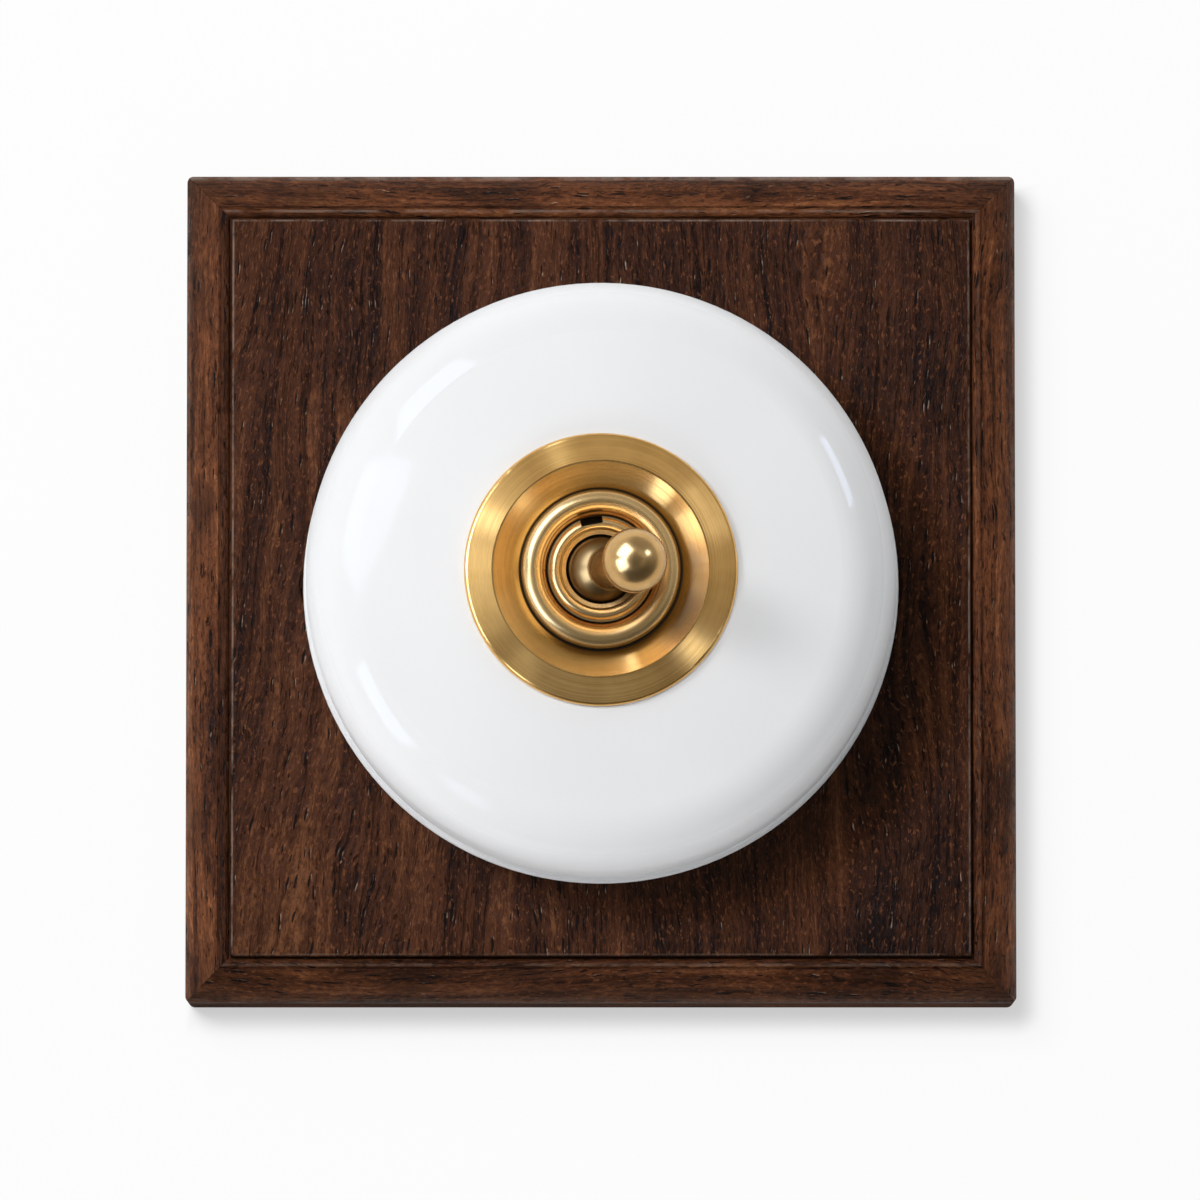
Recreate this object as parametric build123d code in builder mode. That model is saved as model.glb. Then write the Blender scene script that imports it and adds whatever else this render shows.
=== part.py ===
from build123d import *
import os
from math import acos, asin, cos, radians, sin, sqrt, tan

os.makedirs("parts", exist_ok=True)

# Porcelain dolly switch on a moulded wooden pattress, in millimetres.
# The wall is the plane z = 0, +Z points into the room, +Y is up the wall.

# Pattress
pattress_side = 95.0
panel_thickness = 14.0
panel_arris_radius = 0.35
moulding_width = 5.2
moulding_side_height = 11.0
moulding_arris_radius = 0.5
moulding_corner_radius = 0.8
quirk_depth = 1.1
quirk_width = 0.2
bead_width = 1.15
bead_height = 0.55
outer_quirk_width = 0.15
outer_quirk_depth = 0.15
band_rise = 0.4
band_bulge = 0.4

# Fixing the pattress to the wall, on the centres of a standard round box
wall_hole_centres = 60.3
wall_hole_radius = 2.25
wall_countersink_radius = 4.45
countersink_angle = 90.0
cable_hole_radius = 20.0

# Porcelain cover
cover_radius = 34.0
cover_seat_height = 24.0
cover_wall = 4.5
cover_crown_radius = 120.0
cover_shoulder_radius = 8.0
cover_inner_shoulder_radius = 8.0
cover_foot_flare = 0.6
cover_foot_height = 1.5
cover_foot_edge_radius = 0.3
cover_foot_corner_radius = 0.25
cover_inner_foot_radius = 0.6
cover_hole_edge_radius = 0.4

# Porcelain base
base_in_cover_clearance = 0.4
base_edge_radius = 0.4
base_screw_inset = 3.9
base_screw_angle = 30.0
wire_notch_width = 7.0
wire_notch_inset = 0.175
wire_notch_angle = 50.0

# Bezel
bezel_radius = 15.4
bezel_seat_margin = 0.2
bezel_rim_height = 0.75
bezel_rim_round = 0.55
bezel_crest_radius = 12.2
bezel_crest_height = 1.6
bezel_crest_round = 0.35
bezel_throat_radius = 9.25
bezel_throat_height = 0.35
bezel_throat_round = 0.25
bezel_dish_depth = 1.0
bezel_floor = 1.2
bezel_dish_wall = 0.8
bezel_in_cover_clearance = 0.2

# Ring nut and threaded bush
bush_radius = 6.0
thread_clearance = 0.05
bezel_on_bush_clearance = 0.15
nut_radius = 8.95
nut_height = 3.4
nut_foot_chamfer = 0.25
nut_mouth_chamfer = 0.4
bush_shoulder_below_nut = 1.5
bush_lip_radius = 5.8
bush_lip_height = 0.8
bush_mouth_radius = 4.4
bush_mouth_edge_radius = 3.94
hub_clearance = 0.25
bush_thread_length = 6.6
bush_flange_radius = 7.8
bush_flange_thickness = 1.0
bush_spigot_radius = 5.3
spigot_clearance = 0.03
keyway_width = 2.5
keyway_floor_radius = 5.05
keyway_angle = 101.0

# Dolly
dolly_throw = 15.0
pivot_below_lip = 2.9
hub_radius = 4.2
stem_foot_radius = 2.3
stem_top_radius = 1.9
stem_fillet = 0.7
ball_radius = 3.65
ball_reach = 14.5
tail_radius = 2.2
tail_edge_round = 0.3
plunger_bore_top = 2.2
pivot_pin_radius = 0.75
pivot_pin_inset = 1.0
pin_fit_clearance = 0.02
pin_running_clearance = 0.05

# Plunger and spring in the tail
plunger_radius = 1.4
plunger_clearance = 0.05
plunger_length = 5.2
plunger_tip_below_tail = 2.3
plunger_spigot_radius = 0.55
plunger_spigot_length = 1.2
spring_wire_radius = 0.2
spring_coil_radius = 1.0
spring_turns = 5
spring_end_gap = 0.05

# Rocker
rocker_throw = 8.0
rocker_notch_angle = 12.0
rocker_notch_half_width = 4.2
rocker_notch_above_pin = 2.0
rocker_tip_clearance = 0.3
rocker_pin_share = 0.38
rocker_pin_above_base = 3.7
rocker_reach = 10.3
rocker_width = 6.0
rocker_arm_underside = 0.6
rocker_arm_thickness = 1.4
rocker_hub_radius = 1.5
rocker_pin_radius = 0.6
rocker_pin_overhang = 0.3
ear_gap = 0.2
ear_thickness = 1.2
ear_half_width = 2.0

# Contacts
contact_reach = 8.5
contact_radius = 1.5
moving_contact_thickness = 0.6
fixed_contact_dome = 0.3
contact_gap = 0.12

# Terminals
strip_width = 5.5
strip_thickness = 1.5
strip_end_beyond_contact = 2.6
common_strip_width = 6.0
block_width = 6.5
block_length = 7.5
block_height = 8.0
block_start = 12.0
block_edge_round = 0.4
wire_bore_radius = 1.6
wire_bore_height = 3.4
wire_bore_end_wall = 1.2

# Bridge
bridge_width = 14.0
bridge_thickness = 1.6
bridge_half_length = 15.6
bridge_foot_length = 6.0
bridge_bend_radius = 1.2

# Machine screws
screw_radius = 1.45
screw_thread_clearance = 0.05
screw_hole_clearance = 0.2
screw_head_radius = 2.6
screw_head_height = 1.7
screw_head_recess_clearance = 0.4
screw_slot_width = 0.6
screw_slot_depth = 0.8
terminal_screw_y = 8.7
screw_tip_length = 0.3
clamp_screw_bite = 0.6

# Wood screws
wood_screw_radius = 1.5
wood_screw_head_radius = 3.2
wood_screw_length = 12.0
wood_screw_point_length = 3.0
wood_screw_sink = 0.2
pilot_clearance = 0.05

# Heights and places that follow from the sizes above
panel_side = pattress_side - 2 * moulding_width
panel_edge = panel_side / 2
wall_hole_x = wall_hole_centres / 2
seat_z = panel_thickness + cover_seat_height
bezel_floor_z = seat_z - bezel_dish_depth
nut_top_z = bezel_floor_z + nut_height
bush_shoulder_z = nut_top_z - bush_shoulder_below_nut
bush_lip_z = bush_shoulder_z + bush_lip_height
pivot_z = bush_lip_z - pivot_below_lip
flange_top_z = bush_shoulder_z - bush_thread_length
bridge_top_z = flange_top_z - bush_flange_thickness
bridge_underside_z = bridge_top_z - bridge_thickness
rocker_pin_z = panel_thickness + rocker_pin_share * (pivot_z - panel_thickness)
tip_reach = pivot_z - rocker_pin_z - rocker_notch_above_pin - rocker_tip_clearance
tail_reach = tip_reach - plunger_tip_below_tail
base_top = rocker_pin_z - rocker_pin_above_base
base_thickness = base_top - panel_thickness
strip_top = base_top + strip_thickness
wall_radius = cover_radius - cover_foot_flare
inner_radius = wall_radius - cover_wall
base_radius = inner_radius - base_in_cover_clearance
base_screw_reach = base_radius - base_screw_inset
base_screw_turn = radians(base_screw_angle)
base_screw_x = base_screw_reach * cos(base_screw_turn)
base_screw_y = base_screw_reach * sin(base_screw_turn)
wire_notch_reach = cable_hole_radius - wire_notch_width / 2 - wire_notch_inset
wire_notch_turns = [radians(wire_notch_angle), radians(180 - wire_notch_angle)]
bridge_foot_reach = bridge_half_length + bridge_foot_length
bridge_screw_x = bridge_half_length + bridge_foot_length / 2

wall_hole_places = [(-wall_hole_x, 0, panel_thickness), (wall_hole_x, 0, panel_thickness)]
base_screw_places = [(-base_screw_x, base_screw_y), (base_screw_x, -base_screw_y)]
bridge_screw_places = [(-bridge_screw_x, 0), (bridge_screw_x, 0)]
terminal_screw_places = [
    (-contact_reach, -terminal_screw_y),
    (contact_reach, -terminal_screw_y),
    (0, terminal_screw_y),
]
block_middle = block_start + block_length / 2
clamp_screw_places = [(-contact_reach, -block_middle), (contact_reach, -block_middle), (0, block_middle)]

panel_face_plane = Plane.XY.offset(panel_thickness)
base_top_plane = Plane.XY.offset(base_top)

# Lever frame: the lever leans towards +X at rest, and its own axis is the sketch's Y
lean = radians(dolly_throw)
pivot_point = (0, 0, pivot_z)
lever_direction = (sin(lean), 0, cos(lean))
lever_plane = Plane(origin=pivot_point, x_dir=(cos(lean), 0, -sin(lean)), z_dir=(0, -1, 0))
lever_axis = Axis(pivot_point, lever_direction)
pivot_plane = Plane(origin=pivot_point, x_dir=(1, 0, 0), z_dir=(0, -1, 0))

# Rocker frame: its left end is down at rest
rock = radians(rocker_throw)
rocker_pin_point = (0, 0, rocker_pin_z)
rocker_plane = Plane(origin=rocker_pin_point, x_dir=(cos(rock), 0, sin(rock)), z_dir=(0, -1, 0))
rocker_pin_plane = Plane(origin=rocker_pin_point, x_dir=(1, 0, 0), z_dir=(0, -1, 0))


def finish(piece, label):
    """Name a finished piece and write it out."""
    piece.part.label = label
    export_step(piece.part, f"parts/{label}.step")


# Panel of the pattress, with countersunk wall holes, cable hole and pilot holes
pilot_radius = wood_screw_radius + pilot_clearance
pilot_depth = wood_screw_length - base_thickness

with BuildPart() as pattress_panel:
    with BuildSketch():
        Rectangle(panel_side, panel_side)
        Circle(cable_hole_radius, mode=Mode.SUBTRACT)
    extrude(amount=panel_thickness)
    panel_front = pattress_panel.faces().sort_by(Axis.Z)[-1]
    fillet(panel_front.outer_wire().edges(), panel_arris_radius)
    with Locations(*wall_hole_places):
        CounterSinkHole(
            wall_hole_radius,
            wall_countersink_radius,
            depth=panel_thickness,
            counter_sink_angle=countersink_angle,
        )
    with BuildSketch(panel_face_plane):
        with Locations(*base_screw_places):
            Circle(pilot_radius)
    extrude(amount=-pilot_depth, mode=Mode.SUBTRACT)
finish(pattress_panel, "pattress_panel")

# Moulding strips: quirk, bead, quirk and a rounded band, mitred at the corners
quirk_z = panel_thickness - quirk_depth
bead_start = quirk_width
bead_end = bead_start + bead_width
bead_middle = (bead_start + bead_end) / 2
band_start = bead_end + outer_quirk_width
band_start_z = quirk_z + band_rise
outer_quirk_z = band_start_z - outer_quirk_depth
band_run = moulding_width - band_start
band_fall = band_start_z - moulding_side_height
band_length = sqrt(band_run**2 + band_fall**2)
band_middle = (
    band_start + band_run / 2 + band_bulge * band_fall / band_length,
    band_start_z - band_fall / 2 + band_bulge * band_run / band_length,
)


def mitred_moulding(outward):
    """Build one strip whose front edge faces the given direction."""
    along = Vector(0, 0, 1).cross(outward)
    section = Plane(origin=outward * panel_edge, x_dir=outward, z_dir=-along)
    with BuildPart() as strip:
        with BuildSketch(section):
            with BuildLine():
                Polyline((bead_start, quirk_z), (0, quirk_z), (0, 0), (moulding_width, 0))
                Line((moulding_width, 0), (moulding_width, moulding_side_height))
                ThreePointArc((moulding_width, moulding_side_height), band_middle, (band_start, band_start_z))
                Polyline((band_start, band_start_z), (band_start, outer_quirk_z), (bead_end, outer_quirk_z))
                ThreePointArc(
                    (bead_end, outer_quirk_z),
                    (bead_middle, quirk_z + bead_height),
                    (bead_start, quirk_z),
                )
            make_face()
        extrude(amount=pattress_side, both=True)
        outer_arris = strip.edges().filter_by(Axis((0, 0, 0), along)).filter_by(
            lambda edge: abs(edge.center().dot(outward) - pattress_side / 2) < quirk_width
        )
        fillet(outer_arris.sort_by(Axis.Z)[-1], moulding_arris_radius)
        split(bisect_by=Plane(origin=(0, 0, 0), z_dir=along - outward), keep=Keep.BOTTOM)
        split(bisect_by=Plane(origin=(0, 0, 0), z_dir=-along - outward), keep=Keep.BOTTOM)
        with BuildSketch():
            RectangleRounded(pattress_side, pattress_side, moulding_corner_radius)
        extrude(amount=panel_thickness, mode=Mode.INTERSECT)
    return strip


finish(mitred_moulding(Vector(0, 1, 0)), "moulding_top")
finish(mitred_moulding(Vector(0, -1, 0)), "moulding_bottom")
finish(mitred_moulding(Vector(-1, 0, 0)), "moulding_left")
finish(mitred_moulding(Vector(1, 0, 0)), "moulding_right")

# Porcelain base: a disc with two wire notches and sunk screw heads underneath
screw_hole_radius = screw_radius + screw_hole_clearance
head_recess_radius = screw_head_radius + screw_head_recess_clearance
head_recess_depth = screw_head_height + screw_head_recess_clearance
base_screw_hole_radius = wood_screw_radius + screw_hole_clearance
base_countersink_radius = wood_screw_head_radius + screw_hole_clearance

with BuildPart() as porcelain_base:
    with BuildSketch(panel_face_plane):
        Circle(base_radius)
    extrude(amount=base_thickness)
    fillet(porcelain_base.edges().sort_by(Axis.Z)[-1], base_edge_radius)
    with BuildSketch(panel_face_plane):
        with Locations(*bridge_screw_places, *terminal_screw_places):
            Circle(head_recess_radius)
    extrude(amount=head_recess_depth, mode=Mode.SUBTRACT)
    with BuildSketch(panel_face_plane):
        with Locations(*bridge_screw_places, *terminal_screw_places):
            Circle(screw_hole_radius)
        for turn in wire_notch_turns:
            outward = Vector(cos(turn), sin(turn))
            SlotCenterPoint(outward * base_radius, outward * wire_notch_reach, wire_notch_width)
    extrude(amount=base_thickness, mode=Mode.SUBTRACT)
    with Locations(*[(x, y, base_top) for x, y in base_screw_places]):
        CounterSinkHole(
            base_screw_hole_radius,
            base_countersink_radius,
            depth=base_thickness,
            counter_sink_angle=countersink_angle,
        )
finish(porcelain_base, "porcelain_base")

# Porcelain cover: flared foot, straight wall, rounded shoulder, shallow crown and a flat seat for the bezel
bezel_dish_radius = bezel_throat_radius + bezel_dish_wall
cover_hole_radius = bezel_dish_radius + bezel_in_cover_clearance
seat_radius = bezel_radius - bezel_seat_margin
crown_centre_z = seat_z - sqrt(cover_crown_radius**2 - seat_radius**2)
shoulder_centre_r = wall_radius - cover_shoulder_radius
centres_apart = cover_crown_radius - cover_shoulder_radius
shoulder_centre_z = crown_centre_z + sqrt(centres_apart**2 - shoulder_centre_r**2)
shoulder_turn = asin(shoulder_centre_r / centres_apart)
foot_z = panel_thickness + cover_foot_height
inner_crown_radius = cover_crown_radius - cover_wall
inner_shoulder_centre_r = inner_radius - cover_inner_shoulder_radius
inner_centres_apart = inner_crown_radius - cover_inner_shoulder_radius
inner_shoulder_centre_z = crown_centre_z + sqrt(inner_centres_apart**2 - inner_shoulder_centre_r**2)
inner_shoulder_turn = asin(inner_shoulder_centre_r / inner_centres_apart)
inner_hole_z = crown_centre_z + sqrt(inner_crown_radius**2 - cover_hole_radius**2)


def on_crown(radius, turn):
    """Point on a crown arc at an angle from the axis."""
    return (radius * sin(turn), crown_centre_z + radius * cos(turn))


def half_way_down(shoulder_radius, centre_r, centre_z, first_turn):
    """Point in the middle of a shoulder arc that ends upright."""
    turn = (first_turn + radians(90)) / 2
    return (centre_r + shoulder_radius * sin(turn), centre_z + shoulder_radius * cos(turn))


outer_crown_turn = (asin(seat_radius / cover_crown_radius) + shoulder_turn) / 2
inner_crown_turn = (asin(cover_hole_radius / inner_crown_radius) + inner_shoulder_turn) / 2

with BuildPart() as porcelain_cover:
    with BuildSketch(Plane.XZ) as cover_section:
        with BuildLine():
            Polyline(
                (inner_radius, panel_thickness),
                (cover_radius, panel_thickness),
                (cover_radius, foot_z),
                (wall_radius, foot_z),
                (wall_radius, shoulder_centre_z),
            )
            ThreePointArc(
                (wall_radius, shoulder_centre_z),
                half_way_down(cover_shoulder_radius, shoulder_centre_r, shoulder_centre_z, shoulder_turn),
                on_crown(cover_crown_radius, shoulder_turn),
            )
            ThreePointArc(
                on_crown(cover_crown_radius, shoulder_turn),
                on_crown(cover_crown_radius, outer_crown_turn),
                (seat_radius, seat_z),
            )
            Polyline((seat_radius, seat_z), (cover_hole_radius, seat_z), (cover_hole_radius, inner_hole_z))
            ThreePointArc(
                (cover_hole_radius, inner_hole_z),
                on_crown(inner_crown_radius, inner_crown_turn),
                on_crown(inner_crown_radius, inner_shoulder_turn),
            )
            ThreePointArc(
                on_crown(inner_crown_radius, inner_shoulder_turn),
                half_way_down(
                    cover_inner_shoulder_radius,
                    inner_shoulder_centre_r,
                    inner_shoulder_centre_z,
                    inner_shoulder_turn,
                ),
                (inner_radius, inner_shoulder_centre_z),
            )
            Line((inner_radius, inner_shoulder_centre_z), (inner_radius, panel_thickness))
        make_face()
        foot_corners = cover_section.vertices().filter_by_position(Axis.Y, panel_thickness, foot_z)
        fillet(foot_corners.sort_by(Axis.X)[0], cover_inner_foot_radius)
        flare_corners = cover_section.vertices().filter_by_position(Axis.Y, foot_z, foot_z)
        fillet(flare_corners.sort_by(Axis.X)[-1], cover_foot_edge_radius)
        fillet(flare_corners.sort_by(Axis.X)[0], cover_foot_corner_radius)
        seat_corners = cover_section.vertices().filter_by_position(Axis.Y, seat_z, seat_z)
        fillet(seat_corners.sort_by(Axis.X)[0], cover_hole_edge_radius)
    revolve(axis=Axis.Z)
finish(porcelain_cover, "porcelain_cover")

# Bezel: outer cone up to a crest, funnel down to a dish that the nut bears on
crest_z = seat_z + bezel_crest_height
rim_z = seat_z + bezel_rim_height
throat_z = seat_z + bezel_throat_height
bezel_underside_z = bezel_floor_z - bezel_floor
bezel_bore_radius = bush_radius + bezel_on_bush_clearance

with BuildPart() as bezel:
    with BuildSketch(Plane.XZ) as bezel_section:
        with BuildLine():
            Polyline(
                (bezel_bore_radius, bezel_underside_z),
                (bezel_dish_radius, bezel_underside_z),
                (bezel_dish_radius, seat_z),
                (bezel_radius, seat_z),
                (bezel_radius, rim_z),
                (bezel_crest_radius, crest_z),
                (bezel_throat_radius, throat_z),
                (bezel_throat_radius, bezel_floor_z),
                (bezel_bore_radius, bezel_floor_z),
                close=True,
            )
        make_face()
        rim_corner = bezel_section.vertices().filter_by_position(Axis.Y, rim_z, rim_z)
        fillet(rim_corner, bezel_rim_round)
        fillet(bezel_section.vertices().sort_by(Axis.Y)[-1], bezel_crest_round)
        throat_corner = bezel_section.vertices().filter_by_position(Axis.Y, throat_z, throat_z)
        fillet(throat_corner, bezel_throat_round)
    revolve(axis=Axis.Z)
finish(bezel, "bezel")

# Ring nut: flat underneath, full round on top
nut_bore_radius = bush_radius + thread_clearance
nut_mouth_radius = nut_bore_radius + nut_mouth_chamfer
nut_middle_radius = (nut_mouth_radius + nut_radius) / 2
nut_round_z = nut_top_z - (nut_radius - nut_mouth_radius) / 2

with BuildPart() as ring_nut:
    with BuildSketch(Plane.XZ):
        with BuildLine():
            Polyline(
                (nut_mouth_radius, nut_round_z),
                (nut_bore_radius, nut_round_z - nut_mouth_chamfer),
                (nut_bore_radius, bezel_floor_z),
                (nut_radius - nut_foot_chamfer, bezel_floor_z),
                (nut_radius, bezel_floor_z + nut_foot_chamfer),
                (nut_radius, nut_round_z),
            )
            ThreePointArc(
                (nut_radius, nut_round_z),
                (nut_middle_radius, nut_top_z),
                (nut_mouth_radius, nut_round_z),
            )
        make_face()
    revolve(axis=Axis.Z)
finish(ring_nut, "ring_nut")

# Threaded bush: rounded lip, mouth over the lever's hub, keyway, flange on the bridge and a spigot through it
bush_bore_radius = hub_radius + hub_clearance
lip_middle_radius = (bush_lip_radius + bush_mouth_radius) / 2
lip_round = (bush_lip_radius - bush_mouth_radius) / 2
mouth_edge_turn = acos(bush_mouth_edge_radius / bush_bore_radius)
mouth_edge = (bush_mouth_edge_radius, pivot_z + bush_bore_radius * sin(mouth_edge_turn))
mouth_seat_middle = (
    bush_bore_radius * cos(mouth_edge_turn / 2),
    pivot_z + bush_bore_radius * sin(mouth_edge_turn / 2),
)
pin_hole_radius = pivot_pin_radius + pin_fit_clearance
keyway_turn = radians(keyway_angle)
keyway_plane = Plane(
    origin=(0, 0, bush_lip_z),
    x_dir=(cos(keyway_turn), sin(keyway_turn), 0),
    z_dir=(0, 0, 1),
)
keyway_length = bush_radius - keyway_floor_radius + thread_clearance
keyway_middle = keyway_floor_radius + keyway_length / 2

with BuildPart() as threaded_bush:
    with BuildSketch(Plane.XZ):
        with BuildLine():
            Polyline(
                (bush_lip_radius, bush_lip_z - lip_round),
                (bush_lip_radius, bush_shoulder_z),
                (bush_radius, bush_shoulder_z),
                (bush_radius, flange_top_z),
                (bush_flange_radius, flange_top_z),
                (bush_flange_radius, bridge_top_z),
                (bush_spigot_radius, bridge_top_z),
                (bush_spigot_radius, bridge_underside_z),
                (bush_bore_radius, bridge_underside_z),
                (bush_bore_radius, pivot_z),
            )
            ThreePointArc((bush_bore_radius, pivot_z), mouth_seat_middle, mouth_edge)
            Line(mouth_edge, (bush_mouth_radius, bush_lip_z - lip_round))
            ThreePointArc(
                (bush_mouth_radius, bush_lip_z - lip_round),
                (lip_middle_radius, bush_lip_z),
                (bush_lip_radius, bush_lip_z - lip_round),
            )
        make_face()
    revolve(axis=Axis.Z)
    with BuildSketch(keyway_plane):
        with Locations((keyway_middle, 0)):
            Rectangle(keyway_length, keyway_width)
    extrude(amount=flange_top_z - bush_lip_z, mode=Mode.SUBTRACT)
    with BuildSketch(pivot_plane):
        Circle(pin_hole_radius)
    extrude(amount=bush_radius, both=True, mode=Mode.SUBTRACT)
finish(threaded_bush, "threaded_bush")

# Pivot pin across the bush
pivot_pin_half_length = bush_radius - pivot_pin_inset

with BuildPart() as pivot_pin:
    with BuildSketch(pivot_plane):
        Circle(pivot_pin_radius)
    extrude(amount=pivot_pin_half_length, both=True)
finish(pivot_pin, "pivot_pin")

# Dolly: ball, tapered stem, round hub and a hollow tail, turned in one piece
stem_foot = sqrt(hub_radius**2 - stem_foot_radius**2)
stem_top = ball_reach - sqrt(ball_radius**2 - stem_top_radius**2)
ball_top = ball_reach + ball_radius
tail_root = sqrt(hub_radius**2 - tail_radius**2)
plunger_bore_radius = plunger_radius + plunger_clearance
hub_pin_hole_radius = pivot_pin_radius + pin_running_clearance

with BuildPart() as dolly:
    with BuildSketch(lever_plane) as dolly_section:
        with BuildLine():
            Line((0, -plunger_bore_top), (0, ball_top))
            ThreePointArc((0, ball_top), (ball_radius, ball_reach), (stem_top_radius, stem_top))
            Line((stem_top_radius, stem_top), (stem_foot_radius, stem_foot))
            ThreePointArc((stem_foot_radius, stem_foot), (hub_radius, 0), (tail_radius, -tail_root))
            Polyline(
                (tail_radius, -tail_root),
                (tail_radius, -tail_reach),
                (plunger_bore_radius, -tail_reach),
                (plunger_bore_radius, -plunger_bore_top),
                (0, -plunger_bore_top),
            )
        make_face()
        stem_corners = dolly_section.vertices().filter_by(
            lambda corner: 0 < lever_plane.to_local_coords(corner).Y < ball_reach
        )
        fillet(stem_corners, stem_fillet)
    revolve(axis=lever_axis)
    with BuildSketch(pivot_plane):
        Circle(hub_pin_hole_radius)
    extrude(amount=hub_radius, both=True, mode=Mode.SUBTRACT)
    fillet(dolly.edges().filter_by(GeomType.CIRCLE).sort_by(lever_axis)[:1], tail_edge_round)
finish(dolly, "dolly")

# Plunger: round-nosed pin with a spigot inside the spring
plunger_top = plunger_length - tip_reach

with BuildPart() as plunger:
    with BuildSketch(lever_plane):
        with BuildLine():
            Polyline(
                (0, -tip_reach),
                (0, plunger_top + plunger_spigot_length),
                (plunger_spigot_radius, plunger_top + plunger_spigot_length),
                (plunger_spigot_radius, plunger_top),
                (plunger_radius, plunger_top),
                (plunger_radius, plunger_radius - tip_reach),
            )
            RadiusArc((plunger_radius, plunger_radius - tip_reach), (0, -tip_reach), plunger_radius)
        make_face()
    revolve(axis=lever_axis)
finish(plunger, "plunger")

# Coil spring between plunger and bore end
spring_start = plunger_top + spring_wire_radius + spring_end_gap
spring_height = -plunger_bore_top - spring_wire_radius - spring_end_gap - spring_start
spring_base = lever_plane.from_local_coords((0, spring_start, 0))

with BuildPart() as plunger_spring:
    with BuildLine() as coil:
        Helix(
            pitch=spring_height / spring_turns,
            height=spring_height,
            radius=spring_coil_radius,
            center=spring_base,
            direction=lever_direction,
        )
    with BuildSketch(Plane(origin=coil.line @ 0, z_dir=coil.line % 0)):
        Circle(spring_wire_radius)
    sweep(path=coil.line, is_frenet=True)
finish(plunger_spring, "plunger_spring")

# Rocker: notched see-saw arm with a round hub
notch_shoulder = rocker_notch_above_pin + rocker_notch_half_width * tan(radians(rocker_notch_angle))
arm_top = rocker_arm_underside + rocker_arm_thickness

with BuildPart() as rocker:
    with BuildSketch(rocker_plane):
        with BuildLine():
            Polyline(
                (0, rocker_notch_above_pin),
                (rocker_notch_half_width, notch_shoulder),
                (rocker_notch_half_width + rocker_arm_thickness, arm_top),
                (rocker_reach, arm_top),
                (rocker_reach, rocker_arm_underside),
                (-rocker_reach, rocker_arm_underside),
                (-rocker_reach, arm_top),
                (-rocker_notch_half_width - rocker_arm_thickness, arm_top),
                (-rocker_notch_half_width, notch_shoulder),
                close=True,
            )
        make_face()
        Circle(rocker_hub_radius)
        Circle(rocker_pin_radius + pin_running_clearance, mode=Mode.SUBTRACT)
    extrude(amount=rocker_width / 2, both=True)
finish(rocker, "rocker")

# Rocker pin
ear_inner_y = rocker_width / 2 + ear_gap
ear_outer_y = ear_inner_y + ear_thickness

with BuildPart() as rocker_pin:
    with BuildSketch(rocker_pin_plane):
        Circle(rocker_pin_radius)
    extrude(amount=ear_outer_y + rocker_pin_overhang, both=True)
finish(rocker_pin, "rocker_pin")

# Contact buttons under the rocker arms
moving_contact_face = rocker_arm_underside - moving_contact_thickness

with BuildPart() as moving_contacts:
    for reach in (-contact_reach, contact_reach):
        with BuildSketch(
            Plane(
                origin=rocker_plane.from_local_coords((reach, rocker_arm_underside, 0)),
                z_dir=(sin(rock), 0, -cos(rock)),
            )
        ):
            Circle(contact_radius)
    extrude(amount=moving_contact_thickness)
finish(moving_contacts, "moving_contacts")

# Domed contact buttons on the outer terminals, just short of the lowered rocker end
closed_contact = rocker_plane.from_local_coords((-contact_reach, moving_contact_face, 0))
fixed_contact_x = -closed_contact.X
fixed_contact_top = closed_contact.Z - contact_gap
dome_edge_z = fixed_contact_top - fixed_contact_dome
dome_radius = (contact_radius**2 + fixed_contact_dome**2) / (2 * fixed_contact_dome)

with BuildPart() as fixed_contacts:
    for contact_x in (-fixed_contact_x, fixed_contact_x):
        with BuildSketch(Plane(origin=(contact_x, 0, 0), x_dir=(1, 0, 0), z_dir=(0, -1, 0))):
            with BuildLine():
                Polyline(
                    (0, fixed_contact_top),
                    (0, strip_top),
                    (contact_radius, strip_top),
                    (contact_radius, dome_edge_z),
                )
                RadiusArc((contact_radius, dome_edge_z), (0, fixed_contact_top), -dome_radius)
            make_face()
        revolve(axis=Axis((contact_x, 0, 0), (0, 0, 1)))
finish(fixed_contacts, "fixed_contacts")

# Outer terminals: a strip under the contact and a block that takes the wire
tapped_radius = screw_radius + screw_thread_clearance
block_end = block_start + block_length
wire_bore_depth = block_length - wire_bore_end_wall
strip_length = block_end + strip_end_beyond_contact


def outer_terminal(terminal_x):
    """Build the terminal whose strip runs along the given x."""
    with BuildPart() as terminal:
        with BuildSketch(base_top_plane):
            with Locations((terminal_x, strip_end_beyond_contact - strip_length / 2)):
                Rectangle(strip_width, strip_length)
        extrude(amount=strip_thickness)
        with BuildSketch(base_top_plane):
            with Locations((terminal_x, -block_middle)):
                Rectangle(block_width, block_length)
        extrude(amount=block_height)
        fillet(terminal.faces().sort_by(Axis.Z)[-1].edges(), block_edge_round)
        with BuildSketch(Plane(origin=(terminal_x, -block_end, base_top), x_dir=(1, 0, 0), z_dir=(0, -1, 0))):
            with Locations((0, wire_bore_height)):
                Circle(wire_bore_radius)
        extrude(amount=-wire_bore_depth, mode=Mode.SUBTRACT)
        with BuildSketch(Plane.XY.offset(base_top + wire_bore_height)):
            with Locations((terminal_x, -block_middle)):
                Circle(tapped_radius)
        extrude(amount=block_height, mode=Mode.SUBTRACT)
        with BuildSketch(base_top_plane):
            with Locations((terminal_x, -terminal_screw_y)):
                Circle(tapped_radius)
        extrude(amount=strip_thickness, mode=Mode.SUBTRACT)
    return terminal


finish(outer_terminal(-contact_reach), "terminal_left")
finish(outer_terminal(contact_reach), "terminal_right")

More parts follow.
